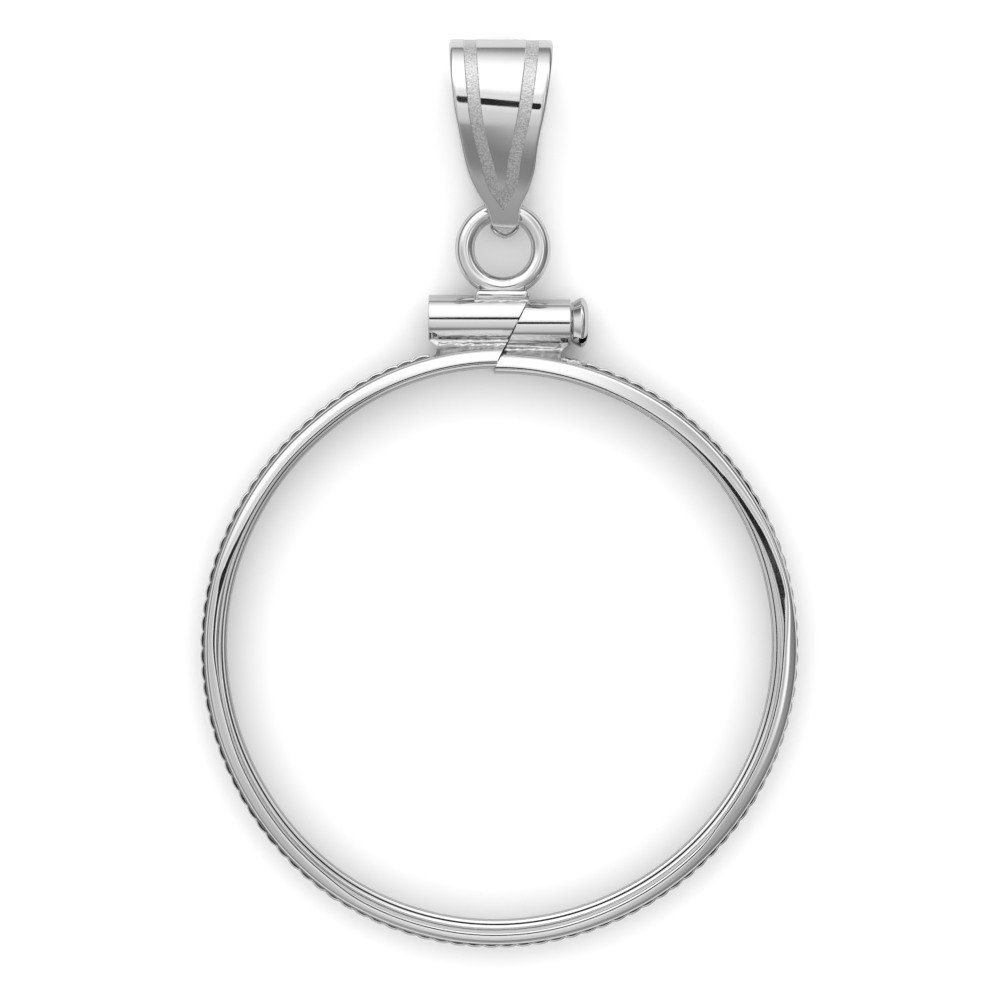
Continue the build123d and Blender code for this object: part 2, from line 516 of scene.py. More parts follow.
@dataclass(frozen=True)
class SatinMetal:
    """The sand-blasted bands on the bail, with painted shade at the bottom of their grains.

    Attributes:
        name: the material's name.
        tone: the metal's colour.
        gloss: least and most roughness.
        dark: painted shade, the colour at the bottom of the grains.
        grain_size: width of a blasted grain in millimetres.
        grain_rise: depth of a blasted grain in millimetres.
    """

    name: str = "sand_blasted_metal"
    tone: Colour = (0.74, 0.74, 0.74, 1.0)
    dark: float = 0.5
    gloss: Pair = (0.32, 0.48)
    grain_size: float = 0.075
    grain_rise: float = 0.02

    def material(self) -> Look:
        """Builds the material.

        Returns:
            The material.
        """
        nodes = Nodes(self.name)
        nodes.metal(self.tone)
        grain = nodes.noise(self.grain_size, 1.0)
        # Painted shade: the colour darkens where the grains sink, following the same noise as their bumps.
        nodes.feed("Base Color", nodes.spread(grain, self.dark, self.tone[0], 0.38, 0.62))
        nodes.feed("Roughness", nodes.spread(grain, *self.gloss))
        nodes.feed("Normal", nodes.bump(grain, self.grain_rise))
        return nodes.material


@dataclass(frozen=True)
class SolderMetal:
    """Flowed solder, cast-looking and only lightly buffed.

    Attributes:
        name: the material's name.
        tone: the metal's colour.
        gloss: least and most roughness.
        lump_size: width of a lump in millimetres.
        lump_rise: height of a lump in millimetres.
    """

    name: str = "solder_metal"
    tone: Colour = (0.58, 0.58, 0.58, 1.0)
    gloss: Pair = (0.1, 0.26)
    lump_size: float = 0.28
    lump_rise: float = 0.03

    def material(self) -> Look:
        """Builds the material.

        Returns:
            The material.
        """
        nodes = Nodes(self.name)
        nodes.metal(self.tone)
        lumps = nodes.noise(self.lump_size, 4.0)
        nodes.feed("Roughness", nodes.spread(lumps, *self.gloss))
        nodes.feed("Normal", nodes.bump(lumps, self.lump_rise))
        return nodes.material


@dataclass(frozen=True)
class Paper:
    """The pale paper under the bezel; in the metal's reflections alone its colour is painted darker, a
    painted shade.

    Attributes:
        name: the material's name.
        tone: the paper's colour.
        painted_reflected_shade: painted shade, the paper's colour where the metal reflects it, near the bezel
            and far from it.
        lit: where that painted shade starts to deepen and where it is full, in millimetres from the paper's
            middle.
        gloss: least and most roughness.
        tooth: width of the paper's grain in millimetres.
        tooth_rise: height of the paper's grain in millimetres.
    """

    name: str = "pale_paper"
    tone: Colour = (0.82, 0.82, 0.82, 1.0)
    painted_reflected_shade: Pair = (0.6, 0.16)
    lit: Pair = (44.0, 72.0)
    gloss: Pair = (0.75, 0.9)
    tooth: float = 0.4
    tooth_rise: float = 0.004

    def material(self) -> Look:
        """Builds the material.

        Returns:
            The material.
        """
        nodes = Nodes(self.name)
        path = nodes.add("ShaderNodeLightPath")
        away = nodes.add("ShaderNodeVectorMath", operation="LENGTH")
        nodes.join(nodes.place, away.inputs[0])
        # Painted shade: where the metal reflects the paper, its colour is drawn darker, and darker still far
        # from its middle.
        near = nodes.spread(away.outputs["Value"], *self.painted_reflected_shade, *self.lit)
        # Glossy rays get the painted shade; all other rays get the paper's own tone.
        shade = nodes.spread(path.outputs["Is Glossy Ray"], self.tone[0], 0.0, 0.0, 1.0)
        nodes.join(near, shade.node.inputs["To Max"])
        nodes.feed("Base Color", shade)
        grain = nodes.noise(self.tooth, 2.0)
        nodes.feed("Roughness", nodes.spread(grain, *self.gloss))
        nodes.feed("Normal", nodes.bump(grain, self.tooth_rise))
        return nodes.material


@dataclass
class Finishes:
    """The finishes of all the pieces, each made once."""

    polished: Look
    satin: Look
    solder: Look
    paper: Look

    @classmethod
    def mixed(cls) -> "Finishes":
        """Makes one material of each finish."""
        return cls(
            PolishedMetal().material(),
            SatinMetal().material(),
            SolderMetal().material(),
            Paper().material(),
        )


def finish_piece(piece: Piece, body: Body, look: Look, degrees: float = 32.0) -> Piece:
    """Smooths a piece, turns it from millimetres into metres and sets it on its body.

    Args:
        piece: the object to finish, shaped in millimetres in the row frame.
        body: the body that it rides on, whose CAD node it stands for.
        look: its material, unless it has some already.
        degrees: edges sharper than this stay sharp.

    Returns:
        The finished piece.
    """
    smooth(piece, degrees)
    settle(piece)
    take_up(piece)
    bpy.ops.transform.resize(value=(MM, MM, MM), center_override=(0, 0, 0))
    settle(piece)
    if not piece.data.materials:
        piece.data.materials.append(look)
    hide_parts(body.value)
    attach(piece, body.value)
    LOG.info("%s: %d faces, rides on %s", piece.name, len(piece.data.polygons), body.value)
    return piece


# Pieces


@dataclass(frozen=True)
class Split:
    """The diagonal split through the tube and the hoop, as seen from the front.

    Attributes:
        foot: a point of the split at the hoop's inner edge.
        top: a point of the split at the tube's top.
        gap: width of the split.
        reach: only what lies above this height is cut.
    """

    foot: Pair = (-0.10, 13.43)
    top: Pair = (1.37, 16.41)
    gap: float = 0.06
    reach: float = 9.0

    def trim(self, piece: Piece, side: Side) -> None:
        """Cuts a piece at the split and closes the cut face.

        Args:
            piece: the object to cut.
            side: the half that the piece belongs to.
        """
        along = (Vector(self.top) - Vector(self.foot)).normalized()
        across = Vector((along.y, -along.x, 0.0)) * side.value
        point = Vector((*self.foot, 0.0)) + across * self.gap / 2
        with shaping(piece):
            pick(Part.FACES, lambda middle: middle.y > self.reach)
            bpy.ops.mesh.bisect(
                plane_co=point,
                plane_no=across,
                use_fill=True,
                clear_inner=True,
                threshold=0.00001,
            )


@dataclass(frozen=True)
class HandWork:
    """How hand bending and burnishing changed the hoop round its turn, read clockwise from the top.

    Attributes:
        shift: angle and how far the hoop stands out of its circle there.
        spread: angle and how far the front lip is spread outwards there.
        crest: angle and where the front lip is highest, from its inner edge (0) to its outer edge (1).
        flat: angle and how flat the crest is: 1 for round, less for flatter, more for sharper.
        facet: angle and width of the flat that polishing left inside the crest.
        inner: angle and how far the front lip is pressed further in.
    """

    shift: Curve = (
        (0, 0.0), (20, 0.03), (40, 0.06), (60, 0.06), (80, 0.03), (100, 0.0), (120, -0.04), (150, -0.06),
        (180, 0.02), (190, 0.05), (210, 0.07), (225, 0.0), (240, -0.08), (260, -0.12), (280, -0.15),
        (300, -0.2), (320, -0.18), (330, -0.1), (340, -0.03), (350, 0.02), (360, 0.04),
    )
    spread: Curve = (
        (0, 0.0), (50, 0.02), (60, 0.05), (70, 0.11), (80, 0.16), (100, 0.15), (112, 0.1), (125, 0.05),
        (180, 0.03), (200, 0.0), (360, 0.0),
    )
    crest: Curve = (
        (0, 0.04), (50, 0.05), (60, 0.1), (70, 0.24), (78, 0.38), (84, 0.28), (92, 0.1), (102, 0.06),
        (126, 0.06), (136, 0.27), (208, 0.27), (219, 0.06), (250, 0.06), (262, 0.2), (272, 0.45), (280, 0.46),
        (287, 0.3), (293, 0.1), (300, 0.05), (360, 0.04),
    )
    flat: Curve = (
        (0, 1.0), (55, 1.0), (68, 0.6), (80, 0.62), (90, 1.2), (130, 1.2), (145, 1.0), (262, 1.0),
        (278, 0.95), (286, 0.7), (296, 0.9), (310, 1.0), (360, 1.0),
    )
    facet: Curve = (
        (0, 0.06), (36, 0.06), (44, 0.09), (52, 0.13), (60, 0.17), (68, 0.2), (76, 0.2), (81, 0.14),
        (86, 0.07), (126, 0.07), (136, 0.064), (208, 0.064), (219, 0.072), (250, 0.072), (262, 0.062),
        (279, 0.07), (285, 0.14), (290, 0.14), (296, 0.09), (305, 0.06), (360, 0.06),
    )
    inner: Curve = (
        (0, 0.07), (12, 0.12), (28, 0.17), (45, 0.15), (60, 0.12), (75, 0.04), (90, 0.0), (110, 0.02),
        (130, 0.07), (152, 0.05), (172, 0.0), (245, 0.0), (262, 0.09), (277, 0.12), (288, 0.07), (300, 0.02),
        (322, 0.03), (340, 0.08), (360, 0.06),
    )

    def read_all(self, clock: float) -> tuple[float, ...]:
        """All six readings at an angle, worked out once for each tenth of a degree.

        Args:
            clock: degrees clockwise from the top.

        Returns:
            The values of the six tables, in their order.
        """
        key = round(clock, 1)
        if key not in READINGS:
            tables = (self.shift, self.spread, self.crest, self.flat, self.facet, self.inner)
            READINGS[key] = tuple(read_rows(rows, key) for rows in tables)
        return READINGS[key]


@dataclass
class Hoop:
    """The hoop: two half turns of one grooved section, the right one closing a little tighter.

    Attributes:
        seat: radius of the groove's floor.
        wall: thickness of the wall outside the groove.
        shoulder: how far the lips reach outside the groove's floor.
        front_lip: how far the front lip reaches in over the coin.
        back_lip: how far the back lip reaches in behind the coin.
        groove_half: half of the groove's width.
        half_depth: half of the hoop's depth.
        band_margin: how far the wall stops short of the lips.
        step: how much tighter the right half closes.
        edge: rounding of the section's small corners.
        nose: rounding of the back lip's inner edge on the groove's side.
        corner: rounding in the groove's corner at the back lip.
        back_edge: rounding of the back lip's inner edge at the back.
        turn: degrees that each half goes round before it is cut.
        steps: spans in each half.
        lip_spans: spans in a quarter of a lip's round.
        lens_shift: how far the lens that the facet faces stands towards the bail.
        lens_rise: how far that lens stands above the lips.
    """

    split: Split
    hand: HandWork
    seat: float = 13.63
    wall: float = 0.39
    shoulder: float = 0.34
    front_lip: float = 0.27
    back_lip: float = 0.46
    groove_half: float = 1.125
    half_depth: float = 1.55
    band_margin: float = 0.24
    step: float = 0.22
    edge: float = 0.03
    nose: float = 0.209
    corner: float = 0.209
    back_edge: float = 0.2
    turn: float = 192.0
    steps: int = 240
    lip_spans: int = 12
    lens_shift: float = 4.6
    lens_rise: float = 143.0

    def seat_centre(self, side: Side) -> float:
        """Where the centre of one half's turn lies along Y."""
        return -side.value * self.step / 4

    def side_seat(self, side: Side) -> float:
        """Radius of the groove's floor in one half."""
        return self.seat - side.value * self.step / 4

    def section(self) -> Piece:
        """Shapes the section's outline below the origin, in the plane x = 0.

        Returns:
            The outline, as edges without a face.
        """
        band_half = self.groove_half - self.band_margin
        bpy.ops.mesh.primitive_plane_add(size=1.0, rotation=(0, math.pi / 2, 0))
        piece = named("hoop_section")
        piece.scale = (2 * band_half, self.wall, 1)
        piece.location = (0, -self.seat - self.wall / 2, 0)
        settle(piece)
        outside = -self.seat - self.wall
        small = 0.001
        with shaping(piece):
            for end, lip in ((1, self.front_lip), (-1, self.back_lip)):
                pick(Part.EDGES, lambda m: m.z * end > band_half - small)
                draw_out((0, 0, end * self.band_margin))
                pick(Part.CORNERS, lambda m: m.z * end > self.groove_half - small and m.y < outside + small)
                bpy.ops.transform.translate(value=(0, self.wall - self.shoulder, 0))
                pick(Part.EDGES, lambda m: m.z * end > self.groove_half - small)
                draw_out((0, 0, end * (self.half_depth - self.groove_half)))
                pick(
                    Part.EDGES,
                    lambda m: m.z * end > self.groove_half + small and m.y > -self.seat - small,
                )
                draw_out((0, lip, 0))
            pick_all()
            bpy.ops.mesh.dissolve_limited(angle_limit=math.radians(1))
            seat, tip = -self.seat, -self.seat + self.back_lip
            front_round = (self.front_lip + self.shoulder) / 2
            back_round = (self.back_lip + self.shoulder) / 2
            for test, round_off, spans in (
                (lambda m: m.z > self.half_depth - small, front_round, self.lip_spans),
                (lambda m: m.z < small - self.half_depth and m.y < seat, back_round, self.lip_spans),
                (lambda m: m.z < small - self.half_depth and m.y > tip - small, self.back_edge, 8),
                (lambda m: abs(m.z + self.groove_half) < small and m.y > tip - small, self.nose, 8),
                (lambda m: abs(m.z + self.groove_half) < small and abs(m.y - seat) < small, self.corner, 6),
            ):
                pick(Part.CORNERS, test)
                bpy.ops.mesh.bevel(offset=round_off, segments=spans, affect="VERTICES")
            pick(
                Part.CORNERS,
                lambda m: (abs(m.z - self.groove_half) < small or abs(abs(m.z) - band_half) < small),
            )
            bpy.ops.mesh.bevel(offset=self.edge, segments=2, affect="VERTICES")
            pick_all()
            bpy.ops.mesh.remove_doubles(threshold=0.0005)
            bpy.ops.mesh.select_mode(type=Part.FACES.value)
            pick_all()
            bpy.ops.mesh.delete(type="ONLY_FACE")
        return piece

    def half(self, side: Side, section: Piece) -> Piece:
        """Turns the section into one half of the hoop and cuts it at the split.

        Args:
            side: the half to make.
            section: the section's outline.

        Returns:
            The half, open where it meets the other one.
        """
        piece = copy_of(section, Matrix.Identity(4))
        with shaping(piece):
            bpy.ops.mesh.spin(
                steps=self.steps,
                angle=-side.value * math.radians(self.turn),
                center=(0, self.seat_centre(side), 0),
                axis=(0, 0, 1),
            )
        self.work_by_hand(piece, side)
        self.split.trim(piece, side)
        return piece

    def clock(self, point: Vector, side: Side) -> float:
        """Degrees clockwise from the top to a point, kept on its own half beyond the top.

        Args:
            point: the point.
            side: the half that it belongs to.

        Returns:
            The degrees, 0 to 360.
        """
        angle = math.degrees(math.atan2(point.x, point.y - self.seat_centre(side))) % 360
        if side is Side.RIGHT and angle > 270:
            return 0.0
        if side is Side.LEFT and angle < 90:
            return 360.0
        return angle

    def work_by_hand(self, piece: Piece, side: Side) -> None:
        """Bends the hoop out of its circle and burnishes its lips unevenly.

        Args:
            piece: the half, one clean turn of the section.
            side: the half's side.
        """
        seat = self.side_seat(side)
        centre = Vector((0, self.seat_centre(side), 0))
        inner, outer = seat - self.front_lip, seat + self.shoulder
        middle, rise = (inner + outer) / 2, (self.front_lip + self.shoulder) / 2
        foot = self.half_depth - rise
        quarter = math.pi / 2
        span = quarter / self.lip_spans
        for corner in piece.data.vertices:
            arm = corner.co - centre
            height = arm.z
            arm.z = 0
            radius = arm.length
            clock = self.clock(corner.co, side)
            shift, spread, crest, flat, facet, pressed = self.hand.read_all(clock)
            tilt = (seat - self.lens_shift * math.cos(math.radians(clock))) / self.lens_rise
            if height > foot - 0.001:
                lean = math.atan2(radius - middle, max(height - foot, 0.0))
                edge, far = inner - pressed, outer + spread
                top = edge + facet + crest * (far - edge - facet)
                if lean > -0.01:
                    radius = top + (far - top) * abs(math.sin(max(lean, 0.0))) ** flat
                    height = foot + rise * math.cos(lean)
                else:
                    lean = min(0.0, (lean + span) * quarter / (quarter - span))
                    radius = top - facet - (top - facet - edge) * abs(math.sin(lean)) ** flat
                    height = foot + rise * math.cos(lean) - facet * tilt
            elif height > self.groove_half - 0.001:
                radius += spread if radius > middle else -pressed
            elif height < 0.001 - self.groove_half and radius < seat - self.back_lip + self.nose + 0.01:
                flat_part = self.back_lip - self.nose - self.corner
                height -= flat_part * tilt * clamp((height + self.half_depth) / self.back_edge)
            corner.co = centre + arm.normalized() * (radius + shift) + Vector((0, 0, height))

    def build(self, finishes: Finishes) -> Piece:
        """Builds and finishes the hoop.

        Args:
            finishes: the materials.

        Returns:
            The hoop.
        """
        section = self.section()
        left = self.half(Side.LEFT, section)
        right = self.half(Side.RIGHT, section)
        bpy.data.objects.remove(section)
        hoop = gather(left, [right])
        hoop.name = "hoop"
        close_seams(hoop)
        return finish_piece(hoop, Body.FRAME, finishes.polished)


@dataclass
class CoinEdge:
    """The coin-edge band: small round bumps side by side round the hoop, left off beside the tube.

    Attributes:
        hoop: the hoop that carries them.
        height: how far a bump stands out of the wall.
        radius: radius of a bump.
        per_side: bumps on each half.
        bare_angle: degrees without bumps on each side of the tube.
        sink: how far a bump reaches into the wall.
        depth: length of a bump.
        edge: rounding of a bump's ends.
        relief: how far the ends are cut back beside the lips, across and down.
        slant: slope of the ends towards the middle of the hoop.
        worn_edge: rounding of a bump's ends where the band is filed flat.
        worn: where that is, in degrees clockwise from the top.
        fade: degrees beside it where the rounding lies half-way.
        weld: neighbouring bumps' corners closer than this become one.
    """

    hoop: Hoop
    height: float = 0.2
    radius: float = 1.0
    per_side: int = 52
    bare_angle: float = 13.5
    sink: float = 0.08
    depth: float = 2.09
    edge: float = 0.1
    relief: Pair = (0.1, 0.17)
    slant: float = 0.09
    worn_edge: float = 0.065
    worn: Pair = (226.0, 286.0)
    fade: float = 8.0
    weld: float = 0.012

    def bump(self, wall: float, pitch: float, edge: float) -> Piece:
        """Shapes one bump on the +X side, cut off where its neighbours start.

        Args:
            wall: radius of the wall that it stands on.
            pitch: degrees from one bump to the next.
            edge: rounding of its ends.

        Returns:
            The bump, open towards the wall and its neighbours.
        """
        bpy.ops.mesh.primitive_cylinder_add(
            vertices=96,
            radius=self.radius,
            depth=self.depth,
            location=(wall + self.height - self.radius, 0, 0),
        )
        piece = named("coin_edge_bump")
        settle(piece)
        half = math.radians(pitch / 2)
        with shaping(piece):
            for corner in bmesh.from_edit_mesh(piece.data).verts:
                corner.co.z *= 1 - self.slant * (wall + self.height - corner.co.x) * 2 / self.depth
            pick(Part.EDGES, lambda m: abs(m.z) > self.depth / 2 - 0.06 and m.x > wall - 3 * self.sink)
            bpy.ops.mesh.bevel(offset=edge, segments=4, affect="EDGES")
            lip = wall - self.hoop.wall + self.hoop.shoulder
            across, down = self.relief
            for end in (-1, 1):
                pick_all()
                bpy.ops.mesh.bisect(
                    plane_co=(lip + across, 0, end * self.depth / 2),
                    plane_no=(down, 0, -end * across),
                    use_fill=True,
                    clear_inner=True,
                )
            for point, way in (
                ((wall - self.sink, 0, 0), (1, 0, 0)),
                ((0, 0, 0), (math.sin(half), math.cos(half), 0)),
                ((0, 0, 0), (math.sin(half), -math.cos(half), 0)),
            ):
                pick_all()
                bpy.ops.mesh.bisect(plane_co=point, plane_no=way, clear_inner=True)
        return piece

    def build(self, finishes: Finishes) -> Piece:
        """Builds and finishes the band.

        Args:
            finishes: the materials.

        Returns:
            The band of bumps.
        """
        pitch = (180 - self.bare_angle) / self.per_side
        made = []
        for side in Side:
            first = -90 + pitch / 2 if side is Side.RIGHT else 90 + self.bare_angle + pitch / 2
            wall = self.hoop.side_seat(side) + self.hoop.wall
            edges = (self.edge, (self.edge + self.worn_edge) / 2, self.worn_edge)
            models = [self.bump(wall, pitch, edge) for edge in edges]
            shift = Matrix.Translation((0, self.hoop.seat_centre(side), 0))
            for index in range(self.per_side):
                turn = Matrix.Rotation(math.radians(first + index * pitch), 4, "Z")
                middle = turn @ Vector((1, 0, 0))
                clock = self.hoop.clock(middle, side)
                out = middle * self.hoop.hand.read_all(clock)[0]
                inside = min(clock - self.worn[0], self.worn[1] - clock)
                model = models[0 if inside < -self.fade else 1 if inside < 0 else 2]
                made.append(copy_of(model, Matrix.Translation(out) @ shift @ turn))
            for model in models:
                bpy.data.objects.remove(model)
        band = gather(made[0], made[1:])
        band.name = "coin_edge_band"
        settle(band)
        with shaping(band):
            bpy.ops.mesh.remove_doubles(threshold=self.weld)
        return finish_piece(band, Body.FRAME, finishes.polished)


@dataclass
class ScrewTube:
    """The tube that the screw closes, in two halves.

    Attributes:
        split: the split between the halves.
        left_y: height of the left half's axis.
        right_y: height of the right half's axis.
        radius: the tube's outside radius.
        left_x: the left end.
        right_x: the right end.
        bore: radius of the screw's hole.
        bore_end: how deep the screw's hole goes.
        edge: rounding of the ends.
        past: how far each half is made beyond the split before it is cut.
    """

    split: Split
    left_y: float = 15.66
    right_y: float = 15.44
    radius: float = 1.1
    left_x: float = -3.35
    right_x: float = 3.40
    bore: float = 0.6
    bore_end: float = -2.11
    edge: float = 0.05
    past: float = 1.8

    def half(self, side: Side) -> Piece:
        """Makes one half, with its outer end's edge rounded and the screw's hole bored.

        Args:
            side: the half to make.

        Returns:
            The half.
        """
        end = self.right_x if side is Side.RIGHT else self.left_x
        height = self.right_y if side is Side.RIGHT else self.left_y
        inner_end = -side.value * self.past
        piece = rod(f"screw_tube_{side.name.lower()}", (end, inner_end), (height, 0), self.radius, 128)
        with shaping(piece):
            pick(Part.EDGES, lambda m: abs(m.x - end) < 0.001)
            bpy.ops.mesh.bevel(offset=self.edge, segments=3, affect="EDGES")
        self.split.trim(piece, side)
        cut(piece, rod("bore_tool", (self.bore_end, self.right_x + 1), (self.right_y, 0), self.bore, 64))
        return piece

    def build(self, finishes: Finishes) -> list[Piece]:
        """Builds and finishes both halves.

        Args:
            finishes: the materials.

        Returns:
            The two halves.
        """
        return [finish_piece(self.half(side), Body.FRAME, finishes.polished) for side in Side]


@dataclass
class SolderSaddle:
    """The solder that fills the corner between the tube and the hoop, in two halves.

    Attributes:
        split: the split between the halves.
        tube: the tube above it.
        hoop: the hoop below it.
        left_x: the left end.
        right_x: the right end.
        hollow: how far the ends are hollow.
        waist: half of its depth just below the tube.
        left_climb: half of its depth at the tube on the left.
        right_climb: the same on the right, where it climbs up the tube.
        foot: half of its depth at the hoop.
        bead: radius of the line of solder beads under the tube.
        bead_right: the right line's radius, as a share of the left one's.
        bead_inset: how far in from the end a line starts.
        bead_past: how far past the middle a line is made before it is cut.
        bead_place: how far below the tube's underside a line lies, and how far forward.
        swell_start: share of its height from which it climbs the tube.
        hollow_reach: how far in from an end it is hollow.
        run_size: half size of the ridge of solder right of the tube.
        run_clock: where that ridge lies, in degrees clockwise from the top.
        run_front: how far forward it lies.
    """

    split: Split
    tube: ScrewTube
    hoop: Hoop
    left_x: float = -3.3
    right_x: float = 3.3
    hollow: float = 0.36
    waist: float = 0.34
    left_climb: float = 0.34
    right_climb: float = 0.84
    foot: float = 1.22
    bead: float = 0.14
    bead_right: float = 0.7
    bead_inset: float = 0.42
    bead_past: float = 0.9
    bead_place: Pair = (0.24, 0.5)
    swell_start: float = 0.45
    hollow_reach: float = 0.9
    run_size: Triple = (0.72, 0.16, 0.3)
    run_clock: float = 14.6
    run_front: float = 0.95

    def half(self, side: Side) -> tuple[Piece, Piece]:
        """Makes one half: a block whose faces sag between the tube and the hoop, with solder lumps.

        Args:
            side: the half to make.

        Returns:
            The half and its line of beads.
        """
        end = self.right_x if side is Side.RIGHT else self.left_x
        height = self.tube.right_y if side is Side.RIGHT else self.tube.left_y
        low = self.hoop.side_seat(side) + self.hoop.wall / 2
        top = height - 0.3
        length = abs(end) + self.tube.past
        place = (end - side.value * length / 2, (top + low) / 2, 0)
        piece = block(f"solder_saddle_{side.name.lower()}", (length, top - low, 2), place)
        centre_y = self.hoop.seat_centre(side)
        edge = self.hoop.side_seat(side) + self.hoop.shoulder
        belly = height - self.tube.radius
        climb = self.right_climb if side is Side.RIGHT else self.left_climb
        with shaping(piece):
            bpy.ops.mesh.subdivide(number_cuts=54)
        mesh = piece.data
        for corner in mesh.vertices:
            x, y, z = corner.co
            share = (y - low) / (top - low)
            drop = low - math.sqrt(max(low**2 - x**2, 0))
            new_y = y + (centre_y - drop) * (1 - share)
            lip = math.sqrt(max(edge**2 - x**2, 0)) + centre_y
            up = clamp((new_y - lip) / (belly - lip))
            swell = max(share - self.swell_start, 0.0) / (1 - self.swell_start)
            depth = self.waist + (climb - self.waist) * swell + (self.foot - self.waist) * (1 - up) ** 2
            near = max(0.0, 1 - abs(x - end) / self.hollow_reach)
            curl = self.hollow * 4 * up * (1 - up) * near * near
            corner.co = (x - side.value * curl, new_y, z * depth)
        lumpy(piece, 0.3, 0.03)
        beads = self.beads(side, end, belly)
        for part in (piece, beads):
            self.split.trim(part, side)
        return piece, beads

    def beads(self, side: Side, end: float, belly: float) -> Piece:
        """Makes the line of small solder beads under one half of the tube.

        Args:
            side: the half.
            end: where the solder ends.
            belly: height of the tube's underside.

        Returns:
            The line of beads, not cut yet.
        """
        radius = self.bead * (1 if side is Side.LEFT else self.bead_right)
        ends = (end - side.value * self.bead_inset, -side.value * self.bead_past)
        below, front = self.bead_place
        return solder_line("tube_solder", ends, (belly - below, front), radius)

    def run(self) -> Piece:
        """Makes the small ridge of solder along the hoop's edge right of the tube.

        Returns:
            The ridge.
        """
        bpy.ops.mesh.primitive_uv_sphere_add(segments=48, ring_count=32, radius=1.0)
        piece = named("solder_run")
        piece.scale = self.run_size
        angle = math.radians(self.run_clock)
        reach = self.hoop.side_seat(Side.RIGHT) + self.hoop.wall + 0.03
        piece.rotation_euler = (0, 0, -angle)
        piece.location = (reach * math.sin(angle), reach * math.cos(angle) - 0.05, self.run_front)
        settle(piece)
        lumpy(piece, 0.22, 0.16)
        return piece

    def build(self, finishes: Finishes) -> list[Piece]:
        """Builds and finishes both halves and the run.

        Args:
            finishes: the materials.

        Returns:
            The pieces of solder.
        """
        pieces = (*self.half(Side.LEFT), *self.half(Side.RIGHT), self.run())
        return [finish_piece(piece, Body.FRAME, finishes.solder, 60) for piece in pieces]


@dataclass
class LoopOnBar:
    """The short bar on the tube and the soldered loop that stands on it.

    Attributes:
        tube_top: height of the left tube's top.
        left_x: the bar's left end.
        right_x: the bar's right end.
        height: the bar's height.
        proud: how far the bar stands above the tube.
        depth: the bar's depth, front to back.
        rounding: rounding of the bar's edges.
        loop_x: where the loop stands.
        hole: diameter of the loop's hole.
        wire: diameter of the loop's wire.
        sink: how far the loop is let into the bar.
        seam_inset: how far in from the bar's ends its line of solder stops.
        seam_place: how far below the tube's top that line lies, and how far forward.
        seam_radius: its radius.
    """

    tube_top: float = 16.76
    left_x: float = -1.20
    right_x: float = 1.44
    height: float = 0.52
    proud: float = 0.23
    depth: float = 1.56
    rounding: float = 0.24
    loop_x: float = 0.18
    hole: float = 2.71
    wire: float = 0.92
    sink: float = 0.31
    seam_inset: float = 0.05
    seam_place: Pair = (0.37, 0.78)
    seam_radius: float = 0.1

    def bar(self) -> Piece:
        """Makes the bar with rounded, slightly uneven faces.

        Returns:
            The bar.
        """
        piece = block(
            "loop_bar",
            (self.right_x - self.left_x, self.height, self.depth),
            ((self.left_x + self.right_x) / 2, self.tube_top + self.proud - self.height / 2, 0),
        )
        with shaping(piece):
            bpy.ops.mesh.bevel(offset=self.rounding, segments=8, affect="EDGES")
            pick_all()
            bpy.ops.mesh.subdivide(number_cuts=5)
        lumpy(piece, 0.55, 0.1)
        return piece

    def seam(self) -> Piece:
        """Makes the rough line of solder where the bar meets the tube."""
        return solder_line(
            "bar_solder",
            (self.left_x + self.seam_inset, self.right_x - self.seam_inset),
            (self.tube_top - self.seam_place[0], self.seam_place[1]),
            self.seam_radius,
        )

    def loop(self) -> Piece:
        """Makes the loop of round wire.

        Returns:
            The loop.
        """
        major = (self.hole + self.wire) / 2
        bpy.ops.mesh.primitive_torus_add(
            major_segments=144,
            minor_segments=48,
            major_radius=major,
            minor_radius=self.wire / 2,
            location=(
                self.loop_x,
                self.tube_top + self.proud + major + self.wire / 2 - self.sink,
                0,
            ),
        )
        return named("bail_loop")

    def build(self, finishes: Finishes) -> list[Piece]:
        """Builds and finishes the bar, its solder and the loop.

        Args:
            finishes: the materials.

        Returns:
            The three pieces.
        """
        pieces = (
            (self.bar(), finishes.polished),
            (self.seam(), finishes.solder),
            (self.loop(), finishes.polished),
        )
        return [finish_piece(piece, Body.FRAME, look, 60) for piece, look in pieces]


